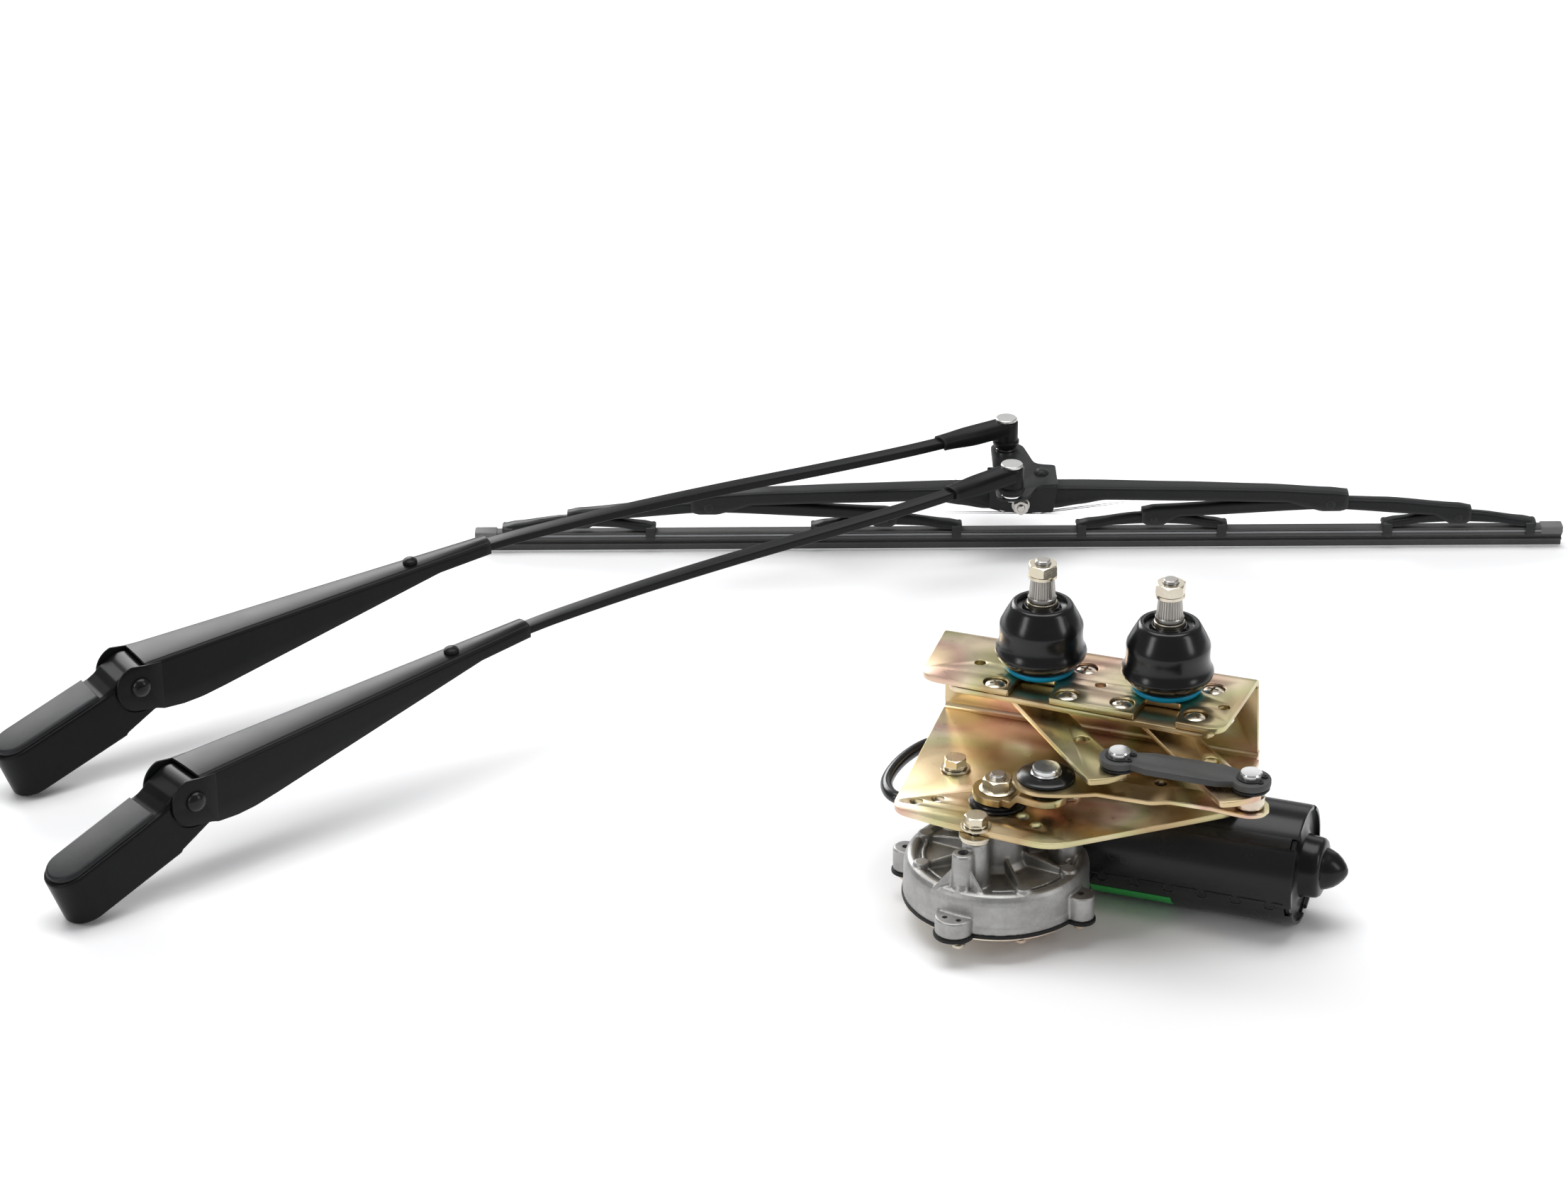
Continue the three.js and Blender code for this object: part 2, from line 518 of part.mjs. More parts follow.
function mirrored(points) {
  return [...points, ...points.map(([x, ...rest]) => [-x, ...rest]).reverse()];
}

function mainBridge() {
  const tip = 241;
  const side = outline(mirrored([
    [30, 36, 4], [60, 42.5, 12], [204, 38.5, 4], [218, 31, 4], [236, 31, 5], [tip, 45, 4], [120, 50.4, 60], [40, 52, 20],
  ]).reverse());
  const under = outline([
    [-tip - 5, 20], [tip + 5, 20], [tip + 5, 43], [120, 48.8, 60], [40, 50.5, 20], [-40, 50.5, 20], [-120, 48.8, 60], [-tip - 5, 43],
  ]);
  const plan = (inset, reach) => outline([
    [-reach, -6.3 + inset], [-60, -8.6 + inset], [60, -8.6 + inset], [reach, -6.3 + inset],
    [reach, 6.3 - inset], [60, 8.6 - inset], [-60, 8.6 - inset], [-reach, 6.3 - inset],
  ]);
  const shell = openChannel(side, plan(0, tip), under, plan(1.1, tip + 6), 12, 60);
  const boss = moved(alongY(rod(6.5, -13.6, 13.6)), 0, 0, 43);
  const pins = [-SECONDARY_X, SECONDARY_X].map((x) => moved(alongY(rod(2, -7.4, 7.4, 12)), x, 0, 36));
  piece(wiper, "main_bridge", cut(joined(shell, boss, ...pins), moved(alongY(rod(3.3, -20, 20, 12)), 0, 0, 43)), bladePaint);
}

function secondaryBridge(side, sign) {
  const [near, far] = YOKE_X;
  const profile = outline([
    [near - 8, 19.6, 4], [near + 8, 19.6, 4], [near + 16, 27.5, 6], [SECONDARY_X - 12, 32.4, 10], [SECONDARY_X + 12, 32.4, 10],
    [far - 16, 27.5, 6], [far - 8, 19.6, 4], [far + 8, 19.6, 4], [far + 9, 33, 4], [SECONDARY_X + 8, 40, 8],
    [SECONDARY_X - 8, 40, 8], [near - 9, 33, 4],
  ]);
  const under = outline([
    [near - 12, 10], [far + 12, 10], [far + 12, 31.4], [SECONDARY_X + 8, 38.6, 8], [SECONDARY_X - 8, 38.6, 8], [near - 12, 31.4],
  ]);
  const plan = (inset, reach) => outline([
    [near - 9 - reach, -4.8 + inset], [far + 9 + reach, -4.8 + inset], [far + 9 + reach, 4.8 - inset], [near - 9 - reach, 4.8 - inset],
  ]);
  const shell = openChannel(profile, plan(0, 0), under, plan(1.1, 4), 10, 60);
  const bore = moved(alongY(rod(2.4, -20, 20, 12)), SECONDARY_X, 0, 36);
  const pins = YOKE_X.map((x) => moved(alongY(rod(1.5, -5.8, 5.8, 12)), x, 0, 24));
  const body = cut(joined(shell, ...pins), bore);
  piece(wiper, "secondary_bridge_" + side, sign < 0 ? body.rotateZ(PI) : body, bladePaint);
}

function yoke(name, span, pivot, sign) {
  const [near, far] = span;
  const clawHalf = 3.5;
  const arch = outline([
    [near - clawHalf, 16.8], [near + 6, 16.8, 3], [near + 16, 19.4, 6], [pivot - 8, 21.2, 4], [pivot + 8, 21.2, 4],
    [far - 16, 19.4, 6], [far - 6, 16.8, 3], [far + clawHalf, 16.8], [far + clawHalf, 21], [far - 4, 22.5, 3],
    [pivot + 14, 29, 8], [pivot - 14, 29, 8], [near + 4, 22.5, 3], [near - clawHalf, 21],
  ]);
  const { low, high, half } = RUBBER_HEAD;
  const claws = span.map((x) => cut(
    block(x - clawHalf, x + clawHalf, -6.6, 6.6, 9.9, 21),
    block(x - 9, x + 9, -half - GAP, half + GAP, low - GAP, high + GAP),
    block(x - 9, x + 9, -3, 3, 5, low),
  ));
  const body = cut(
    joined(sideways(arch, 3.1), ...claws),
    moved(alongY(rod(1.9, -20, 20, 12)), pivot, 0, 24),
  );
  piece(wiper, name, sign < 0 ? body.rotateZ(PI) : body, bladePaint);
}

function rubber() {
  const { low, high, half } = RUBBER_HEAD;
  const section = outline([
    [-1, 0], [1, 0], [2.4, 8.6, 1], [4.2, 9.5], [2, 10], [2, low - 0.2], [half, low], [half, high], [-half, high],
    [-half, low], [-2, low - 0.2], [-2, 10], [-4.2, 9.5], [-2.4, 8.6, 1],
  ]);
  const strip = raised(section, -HALF_BLADE, HALF_BLADE).rotateX(PI / 2).rotateZ(PI / 2);
  piece(wiper, "wiper_rubber", strip, wiperRubber);
}

gearbox();
wormDrive();
motor();
bracket();
crank();
spindles();
lead();
for (const [side, turn] of [["rear", REAR_TURN], ["front", FRONT_TURN]]) {
  const group = armGroup(side, turn);
  channel(group, side);
  armRod(group, side);
  head(group, side);
}
bladeCarrier();
mainBridge();
for (const [side, sign] of [["left", -1], ["right", 1]]) {
  secondaryBridge(side, sign);
  YOKE_SPANS.forEach((span, i) => {
    yoke("yoke_" + side + "_" + ["inner", "outer"][i], span, YOKE_X[i], sign);
  });
}
rubber();

export default kit;
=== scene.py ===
# %% [markdown]
# # A pantograph wiper kit
# Two long arms are pinned to one blade, and beside them lies the drive unit: motor, gearbox, bracket,
# levers and links. The CAD model sets every place and joint. Here each visible piece gets its real
# surface. Start by loading the frame and keeping the size of the CAD model.

# %% Load the frame
import json
import math

import bmesh
import bpy
from mathutils import Matrix, Vector

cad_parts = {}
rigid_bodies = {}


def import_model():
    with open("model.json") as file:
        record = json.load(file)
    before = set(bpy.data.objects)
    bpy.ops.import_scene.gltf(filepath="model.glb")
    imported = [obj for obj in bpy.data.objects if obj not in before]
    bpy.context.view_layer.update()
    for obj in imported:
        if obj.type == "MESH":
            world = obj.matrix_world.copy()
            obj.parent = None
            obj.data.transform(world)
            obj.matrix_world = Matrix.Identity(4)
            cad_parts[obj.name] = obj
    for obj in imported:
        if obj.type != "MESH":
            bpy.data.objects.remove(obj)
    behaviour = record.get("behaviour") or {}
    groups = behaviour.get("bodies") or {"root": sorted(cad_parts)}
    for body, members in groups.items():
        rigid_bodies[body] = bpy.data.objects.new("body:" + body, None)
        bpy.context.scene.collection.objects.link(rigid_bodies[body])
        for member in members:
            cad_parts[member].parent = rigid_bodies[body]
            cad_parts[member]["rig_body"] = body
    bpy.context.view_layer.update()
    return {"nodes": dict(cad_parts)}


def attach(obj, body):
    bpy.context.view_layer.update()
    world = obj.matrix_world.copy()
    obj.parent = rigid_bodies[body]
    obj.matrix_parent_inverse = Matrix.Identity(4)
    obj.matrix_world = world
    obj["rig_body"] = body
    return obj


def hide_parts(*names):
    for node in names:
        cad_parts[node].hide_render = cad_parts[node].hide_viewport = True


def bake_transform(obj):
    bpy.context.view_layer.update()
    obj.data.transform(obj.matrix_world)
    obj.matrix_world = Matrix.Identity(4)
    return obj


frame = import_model()
MM = 0.001

# %% [markdown]
# The drive unit lies turned beside the blade, and each arm has its own heading. One matrix for each of
# them lets every piece be drawn in the frame that a maker would use, in millimetres.

# %% Places
PITCH = 82
BLADE_AT = Vector((42, 533, 0))
HEADING = {"rear": math.radians(31.6), "front": math.radians(39.1)}
TIP_PIN = {"rear": (-8, PITCH / 2 + 5.5), "front": (-8, 5.5 - PITCH / 2)}
HINGE = Vector((703.7, 0, 62.8))
HEAD_SLOPE = math.radians(21)


def turn(axis, angle):
    return Matrix.Rotation(angle, 4, axis)


def shift(x, y, z):
    return Matrix.Translation((x, y, z))


DRIVE = turn("Z", math.radians(-20.4))
WIPER = Matrix.Translation(BLADE_AT)
ARM = {side: WIPER @ shift(*TIP_PIN[side], 0) @ turn("Z", math.pi + HEADING[side]) for side in HEADING}
HEAD = {side: ARM[side] @ Matrix.Translation(HINGE) @ turn("Y", HEAD_SLOPE) for side in HEADING}

# %% [markdown]
# A form is a list of points and a list of faces. Making forms with plain functions, and turning them
# into objects only once they are whole, keeps each piece one mesh.

# %% Forms
def moved(form, matrix):
    points, faces = form
    return [matrix @ Vector(point) for point in points], faces


def gathered(*forms):
    points, faces = [], []
    for some_points, some_faces in forms:
        start = len(points)
        points.extend(some_points)
        faces.extend([tuple(index + start for index in face) for face in some_faces])
    return points, faces


def lathe(profile, segments=72):
    """Turns (radius, height) points about z. The profile ends on the axis, or closes on itself."""
    points, faces = [], []
    rings = []
    for radius, height in profile:
        if radius < 1e-6:
            rings.append([len(points)])
            points.append(Vector((0, 0, height)))
            continue
        rings.append(list(range(len(points), len(points) + segments)))
        for i in range(segments):
            angle = 2 * math.pi * i / segments
            points.append(Vector((radius * math.cos(angle), radius * math.sin(angle), height)))
    pairs = list(zip(rings, rings[1:]))
    if len(rings[0]) > 1 and len(rings[-1]) > 1:
        pairs.append((rings[-1], rings[0]))
    for low, high in pairs:
        for i in range(segments):
            j = (i + 1) % segments
            if len(low) == 1:
                faces.append((low[0], high[j], high[i]))
            elif len(high) == 1:
                faces.append((low[i], low[j], high[0]))
            else:
                faces.append((low[i], low[j], high[j], high[i]))
    return points, faces


def softened(profile, reach=0.5):
    """Replaces each sharp corner of a lathe profile by a short chamfer."""
    soft = [profile[0]]
    for before, here, after in zip(profile, profile[1:], profile[2:]):
        here = Vector(here)
        for other in (Vector(before), Vector(after)):
            span = (other - here).length
            soft.append(tuple(here.lerp(other, min(reach, span * 0.4) / span)))
    soft.append(profile[-1])
    return soft


def rounded(corners, steps=6):
    """An outline whose corners are (x, y) or (x, y, how far the rounding reaches)."""
    outline = []
    for i, corner in enumerate(corners):
        here = Vector(corner[:2])
        reach = corner[2] if len(corner) > 2 else 0
        before = Vector(corners[i - 1][:2])
        after = Vector(corners[(i + 1) % len(corners)][:2])
        if reach == 0:
            outline.append(here)
            continue
        start = here + (before - here).normalized() * reach
        end = here + (after - here).normalized() * reach
        for step in range(steps + 1):
            t = step / steps
            outline.append(start * (1 - t) ** 2 + here * 2 * t * (1 - t) + end * t**2)
    return outline


def circle(x, y, radius, count=36):
    angles = [2 * math.pi * i / count for i in range(count)]
    return [Vector((x + radius * math.cos(a), y + radius * math.sin(a))) for a in angles]


def slot(start, end, radius, count=14):
    """An outline round both ends of the line from start to end."""
    start, end = Vector(start), Vector(end)
    heading = math.atan2(end.y - start.y, end.x - start.x)
    outline = []
    for centre, first in ((start, heading + math.pi / 2), (end, heading - math.pi / 2)):
        for i in range(count + 1):
            angle = first + math.pi * i / count
            outline.append(centre + radius * Vector((math.cos(angle), math.sin(angle))))
    return outline


def area_of(outline):
    outline = [Vector(point) for point in outline]
    return sum(a.x * b.y - b.x * a.y for a, b in zip(outline, outline[1:] + outline[:1])) / 2


def plate(outline, low, high, holes=(), edge=0.35):
    """A flat plate with softened edges and holes: a filled 2D curve with a small bevel."""
    curve = bpy.data.curves.new("plate", "CURVE")
    curve.dimensions = "2D"
    curve.fill_mode = "BOTH"
    curve.extrude = (high - low) / 2 - edge
    curve.bevel_depth = edge
    curve.bevel_resolution = 1
    curve.offset = -edge
    for loop, is_hole in [(list(outline), False)] + [(list(hole), True) for hole in holes]:
        if (area_of(loop) > 0) == is_hole:
            loop = loop[::-1]
        spline = curve.splines.new("POLY")
        spline.points.add(len(loop) - 1)
        for point, place in zip(spline.points, loop):
            point.co = (place[0], place[1], 0, 1)
        spline.use_cyclic_u = True
    obj = bpy.data.objects.new("plate", curve)
    bpy.context.collection.objects.link(obj)
    bpy.context.view_layer.update()
    mesh = bpy.data.meshes.new_from_object(obj.evaluated_get(bpy.context.evaluated_depsgraph_get()))
    bpy.data.objects.remove(obj)
    middle = (low + high) / 2
    points = [vertex.co + Vector((0, 0, middle)) for vertex in mesh.vertices]
    faces = [tuple(polygon.vertices) for polygon in mesh.polygons]
    bpy.data.meshes.remove(mesh)
    return points, faces


def sweep(route, section):
    """A closed section carried along a route. Section points are (sideways, upward)."""
    points, faces = [], []
    route = [Vector(point) for point in route]
    count = len(section)
    side = None
    for i, here in enumerate(route):
        ahead = route[min(i + 1, len(route) - 1)] - route[max(i - 1, 0)]
        ahead.normalize()
        if side is None:
            side = Vector((0, 0, 1)).cross(ahead).normalized()
        side = (side - ahead * side.dot(ahead)).normalized()
        above = ahead.cross(side)
        points.extend(here + side * x + above * y for x, y in section)
    for i in range(len(route) - 1):
        for j in range(count):
            k = (j + 1) % count
            faces.append((i * count + j, i * count + k, (i + 1) * count + k, (i + 1) * count + j))
    faces.append(tuple(range(count))[::-1])
    faces.append(tuple(range((len(route) - 1) * count, len(route) * count)))
    return points, faces


def smooth_route(stops, per_leg=8):
    """A Catmull-Rom curve through the stops."""
    stops = [Vector(stop) for stop in stops]
    ends = [stops[0] * 2 - stops[1]] + stops + [stops[-1] * 2 - stops[-2]]
    route = []
    for a, b, c, d in zip(ends, ends[1:], ends[2:], ends[3:]):
        for step in range(per_leg):
            t = step / per_leg
            second, third = 2 * a - 5 * b + 4 * c - d, 3 * b - a - 3 * c + d
            route.append(0.5 * (2 * b + (c - a) * t + second * t**2 + third * t**3))
    route.append(stops[-1])
    return route


def folded_sheet(stations, wall, corner=3.0, arc=6, crown=0.0):
    """A sheet folded to a channel that is open below.

    Each station is (along, half width, top, bottom). The wall goes inward from the outer surface.
    """
    points, faces = [], []
    rows = []
    for inset in (0, wall):
        for along, half, top, bottom in stations:
            half_here, top_here = half - inset, top - inset
            bend = max(min(corner, half, (top - bottom) * 0.8) - inset, 0.3)
            line = []
            for step in range(4):
                height = bottom + (top_here - bend - bottom) * step / 3
                line.append((half_here, height))
            for step in range(1, arc + 1):
                angle = math.pi / 2 * step / arc
                y, z = half_here - bend + bend * math.cos(angle), top_here - bend + bend * math.sin(angle)
                line.append((y, z))
            line.append((half_here * 0.4, top_here + crown * 0.8))
            line.append((0, top_here + crown))
            line += [(-y, z) for y, z in reversed(line[:-1])]
            rows.append(len(points))
            points.extend(Vector((along, y, z)) for y, z in line)
            width = len(line)
    count = len(stations)

    def strip(first, second, flip):
        for j in range(width - 1):
            quad = (first + j, second + j, second + j + 1, first + j + 1)
            faces.append(quad[::-1] if flip else quad)

    for i in range(count - 1):
        strip(rows[i], rows[i + 1], True)
        strip(rows[count + i], rows[count + i + 1], False)
        for j, flip in ((0, True), (width - 1, False)):
            quad = (rows[i] + j, rows[count + i] + j, rows[count + i + 1] + j, rows[i + 1] + j)
            faces.append(quad[::-1] if flip else quad)
    strip(rows[0], rows[count], False)
    strip(rows[count - 1], rows[2 * count - 1], True)
    return points, faces


def box_form(x0, x1, y0, y1, z0, z1):
    points = [Vector((x, y, z)) for x in (x0, x1) for y in (y0, y1) for z in (z0, z1)]
    faces = [(0, 1, 3, 2), (4, 6, 7, 5), (0, 4, 5, 1), (2, 3, 7, 6), (0, 2, 6, 4), (1, 5, 7, 3)]
    return points, faces


def hex_form(across, low, high, bore=0.0, chamfer_both=False):
    """A hexagon with the curved chamfer that a turned nut has, on top or at both ends."""
    segments = 96
    flat = across / 2
    profile_radius = []
    for i in range(segments):
        angle = 2 * math.pi * i / segments
        off_flat = (angle + math.pi / 6) % (math.pi / 3) - math.pi / 6
        profile_radius.append(flat / math.cos(off_flat))
    chamfer = [max(radius - flat * 0.97, 0) * 0.6 for radius in profile_radius]
    inner = bore if bore > 0 else flat * 0.3
    rings = [
        [(inner, low)] * segments,
        [
            (radius - (drop * 1.6 if chamfer_both else 0), low)
            for radius, drop in zip(profile_radius, chamfer)
        ],
        [(radius, low + (drop if chamfer_both else 0.05)) for radius, drop in zip(profile_radius, chamfer)],
        [(radius, high - drop) for radius, drop in zip(profile_radius, chamfer)],
        [(radius - drop * 1.6, high) for radius, drop in zip(profile_radius, chamfer)],
        [(flat * 0.9, high)] * segments,
        [(inner, high)] * segments,
    ]
    points, faces = [], []
    for ring in rings:
        for i, (radius, height) in enumerate(ring):
            angle = 2 * math.pi * i / segments
            points.append(Vector((radius * math.cos(angle), radius * math.sin(angle), height)))
    count = len(rings)
    for r in range(count if bore > 0 else count - 1):
        for i in range(segments):
            j = (i + 1) % segments
            low_row, high_row = r * segments, ((r + 1) % count) * segments
            faces.append((low_row + i, low_row + j, high_row + j, high_row + i))
    if bore <= 0:
        faces.append(tuple(range(segments))[::-1])
        faces.append(tuple(range((count - 1) * segments, count * segments)))
    return points, faces


ALONG_X = turn("Y", math.pi / 2)
ALONG_Y = turn("X", -math.pi / 2)

# %% [markdown]
# Shader maths reads best as ordinary expressions, so a small class wraps a socket: `1 - mask` adds a
# Math node. Any other node is made by one method that takes its settings and its inputs.

# %% Shader graph
class Value:
    def __init__(self, graph, socket):
        self.graph = graph
        self.socket = socket

    def math(self, operation, other, swapped=False):
        first, second = (other, self) if swapped else (self, other)
        return self.graph.node("ShaderNodeMath", {"operation": operation}, {0: first, 1: second})

    def __add__(self, other):
        return self.math("ADD", other)

    def __radd__(self, other):
        return self.math("ADD", other)

    def __sub__(self, other):
        return self.math("SUBTRACT", other)

    def __rsub__(self, other):
        return self.math("SUBTRACT", other, swapped=True)

    def __mul__(self, other):
        return self.math("MULTIPLY", other)

    def __rmul__(self, other):
        return self.math("MULTIPLY", other)


class Graph:
    def __init__(self, name):
        self.material = bpy.data.materials.new(name)
        self.material.use_nodes = True
        self.nodes = self.material.node_tree.nodes
        self.links = self.material.node_tree.links
        self.shader = self.nodes["Principled BSDF"]
        self.place = self.node("ShaderNodeTexCoord", {}, {}, "Object")

    def put(self, socket, value):
        if isinstance(value, Value):
            self.links.new(value.socket, socket)
        elif isinstance(value, tuple) and len(value) == 3 and socket.type == "RGBA":
            socket.default_value = (*value, 1)
        else:
            socket.default_value = value

    def node(self, kind, settings, inputs, output=0):
        made = self.nodes.new(kind)
        for key, value in settings.items():
            if key == "stops":
                ramp = made.color_ramp
                while len(ramp.elements) < len(value):
                    ramp.elements.new(0.5)
                for element, (place, colour) in zip(ramp.elements, value):
                    element.position = place
                    grey = not isinstance(colour, tuple)
                    element.color = (colour, colour, colour, 1) if grey else (*colour, 1)
            else:
                setattr(made, key, value)
        for key, value in inputs.items():
            self.put(made.inputs[key], value)
        return Value(self, made.outputs[output])

    def noise(self, size_mm, detail=3.0, rough=0.55, stretch=(1, 1, 1)):
        """Noise whose lumps are about size_mm across."""
        where = self.node("ShaderNodeMapping", {}, {"Vector": self.place, "Scale": stretch})
        inputs = {"Vector": where, "Scale": 1 / (size_mm * MM), "Detail": detail, "Roughness": rough}
        return self.node("ShaderNodeTexNoise", {}, inputs)

    def ramp(self, value, stops):
        return self.node("ShaderNodeValToRGB", {"stops": stops}, {"Fac": value})

    def mix(self, amount, first, second):
        settings = {"data_type": "RGBA"}
        inputs = {0: amount, 6: first, 7: second}
        return self.node("ShaderNodeMix", settings, inputs, 2)

    def bump(self, height, depth_mm, strength):
        inputs = {"Height": height, "Distance": depth_mm * MM, "Strength": strength}
        return self.node("ShaderNodeBump", {}, inputs)

    def edges(self, low=0.52, high=0.6):
        """A mask of the outer edges, where handling rubs a finish."""
        pointy = self.node("ShaderNodeNewGeometry", {}, {}, "Pointiness")
        return self.ramp(pointy, [(low, 0.0), (high, 1.0)])

    def finish(self, **sockets):
        for name, value in sockets.items():
            self.put(self.shader.inputs[name.replace("_", " ")], value)
        return self.material

# %% [markdown]
# Yellow passivated zinc is a bright metal under a thin clear film, and the film's thickness drifts over
# a plate, so broad soft patches lean to pink, green and straw. Broad noise picks the tint, and a fine
# rolled grain gives the bump and the uneven gloss.

# %% Plated steel
def plated(name, tints, gloss, grain_mm=0.5):
    g = Graph(name)
    drift = g.noise(74, 1.0, 0.4)
    tint = g.ramp(drift, tints)
    cloud = g.noise(9, 4.0, 0.6)
    soft = g.mix(cloud * 0.25, tint, tuple(channel * 0.68 for channel in tints[0][1]))
    grain = g.noise(grain_mm, 2.0, 0.6, (1, 0.3, 1))
    specks = g.ramp(g.noise(1.6, 2.0, 0.7), [(0.66, 0.0), (0.76, 1.0)])
    colour = g.mix(specks * 0.3, soft, (0.16, 0.12, 0.06))
    return g.finish(
        Base_Color=colour,
        Metallic=1.0,
        Roughness=cloud * 0.16 + gloss,
        Normal=g.bump(grain, 0.02, 0.5),
    )


straw, pink, green = (0.69, 0.54, 0.32), (0.64, 0.41, 0.33), (0.56, 0.53, 0.28)
champagne, brown = (0.77, 0.65, 0.46), (0.48, 0.35, 0.19)
yellow_zinc = plated(
    "yellow_zinc",
    [(0.28, straw), (0.38, brown), (0.46, green), (0.52, champagne), (0.59, pink), (0.68, straw)],
    0.22,
)
pale_zinc = plated(
    "pale_zinc", [(0.35, (0.66, 0.60, 0.47)), (0.5, (0.72, 0.66, 0.55)), (0.64, (0.66, 0.52, 0.42))], 0.2,
)

# %% [markdown]
# Turned steel has fine rings and a little stain in scattered patches.

# %% Bare steel
def steel(name, colour, gloss):
    g = Graph(name)
    stain = g.noise(4, 4.0, 0.6)
    worn = g.mix(stain, tuple(c * 0.9 for c in colour), colour)
    rings = g.noise(0.35, 2.0, 0.5, (0.15, 0.15, 3))
    return g.finish(
        Base_Color=worn,
        Metallic=1.0,
        Roughness=stain * 0.07 + gloss,
        Normal=g.bump(rings, 0.008, 0.3),
    )


bright_steel = steel("bright_steel", (0.78, 0.78, 0.77), 0.2)
spline_steel = steel("spline_steel", (0.5, 0.48, 0.45), 0.3)
ground_steel = steel("ground_steel", (0.62, 0.62, 0.6), 0.36)

# %% [markdown]
# The painted and moulded black parts differ mostly in how the light spreads: powder coat has a low
# orange peel, the head covers a fine grain, the blade a dry matte coat, and the rubber a wet gloss.

# %% Black finishes
def coating(name, colour, gloss, peel_mm, peel_depth, wear=0.0, dust=0.0, coat=0.0, metal=0.0, shine=0.25):
    g = Graph(name)
    broad = g.noise(24, 3.0, 0.6)
    peel = g.noise(peel_mm, 3.0, 0.55)
    lighter = tuple(c * 1.5 + 0.002 for c in colour)
    shade = g.mix(broad, colour, lighter)
    dusty = g.mix(
        g.ramp(g.noise(3.5, 5.0, 0.7), [(0.5, 0.0), (0.8, 1.0)]) * dust, shade, (0.2, 0.195, 0.185),
    )
    rubbed = g.mix(g.edges() * wear, dusty, (0.22, 0.22, 0.22))
    return g.finish(
        Base_Color=rubbed,
        Metallic=metal,
        Roughness=broad * 0.12 + gloss,
        Specular_IOR_Level=shine,
        Coat_Weight=coat,
        Coat_Roughness=0.18,
        Normal=g.bump(peel, peel_depth, 0.6),
    )


arm_paint = coating("arm_paint", (0.003, 0.0032, 0.0035), 0.25, 1.4, 0.03, wear=0.05, dust=0.01, shine=0.13)
head_plastic = coating("head_plastic", (0.009, 0.0098, 0.0105), 0.4, 0.5, 0.10, dust=0.03, shine=0.26)
blade_paint = coating(
    "blade_paint", (0.0065, 0.007, 0.0075), 0.33, 0.9, 0.04, wear=0.1, dust=0.02, shine=0.2,
)
boot_rubber = coating(
    "boot_rubber", (0.003, 0.003, 0.0035), 0.16, 3.0, 0.04, dust=0.01, coat=0.1, shine=0.35,
)
gasket_rubber = coating("gasket_rubber", (0.006, 0.006, 0.006), 0.5, 0.8, 0.04, dust=0.04)
wiper_rubber = coating("wiper_rubber", (0.045, 0.045, 0.044), 0.42, 0.7, 0.03, dust=0.06, shine=0.4)
rail_steel = coating("rail_steel", (0.16, 0.162, 0.165), 0.36, 0.6, 0.02, metal=0.8)
can_paint = coating("can_paint", (0.0022, 0.0022, 0.0025), 0.2, 2.2, 0.03, wear=0.05, coat=0.05, shine=0.25)
lead_jacket = coating("lead_jacket", (0.004, 0.0045, 0.005), 0.2, 2.5, 0.02, coat=0.1, shine=0.4)
black_plastic = coating("black_plastic", (0.012, 0.012, 0.013), 0.42, 0.6, 0.04, dust=0.03)
link_paint = coating("link_paint", (0.042, 0.042, 0.041), 0.45, 0.8, 0.05, wear=0.2, dust=0.06)
grey_plastic = coating("grey_plastic", (0.10, 0.10, 0.10), 0.5, 0.8, 0.03)
ring_plastic = coating("ring_plastic", (0.0, 0.24, 0.42), 0.28, 0.9, 0.02)
label_film = coating("label_film", (0.02, 0.27, 0.05), 0.3, 1.2, 0.02)
ferrite = coating("ferrite", (0.06, 0.06, 0.065), 0.6, 0.7, 0.05)
acetal = coating("acetal", (0.62, 0.58, 0.48), 0.4, 0.8, 0.02)
copper_wire = coating("copper_wire", (0.42, 0.17, 0.07), 0.3, 0.6, 0.2, metal=0.9)

# %% [markdown]
# Die-cast aluminium has a sandy skin with darker flow marks, and bright rubbed ridges.

# %% Cast metal
def cast_metal():
    g = Graph("cast_alloy")
    flow = g.noise(16, 5.0, 0.65)
    sand = g.noise(0.75, 3.0, 0.6)
    pits = g.ramp(g.noise(1.8, 3.0, 0.7), [(0.30, 1.0), (0.40, 0.0)])
    colour = g.ramp(
        flow, [(0.3, (0.29, 0.285, 0.275)), (0.55, (0.38, 0.375, 0.365)), (0.75, (0.47, 0.465, 0.455))],
    )
    marked = g.mix(pits * 0.35, colour, (0.16, 0.16, 0.165))
    rubbed = g.mix(g.edges(0.53, 0.62) * 0.6, marked, (0.70, 0.71, 0.72))
    return g.finish(
        Base_Color=rubbed,
        Metallic=0.85,
        Roughness=flow * 0.14 + 0.36,
        Normal=g.bump(sand - pits * 0.6, 0.09, 0.8),
    )


cast_alloy = cast_metal()

# %% [markdown]
# Every piece is finished the same way: its form becomes a mesh, the mesh gets its material and smooth
# shading up to a crease angle, and the piece rides on its CAD body in place of its CAD node.

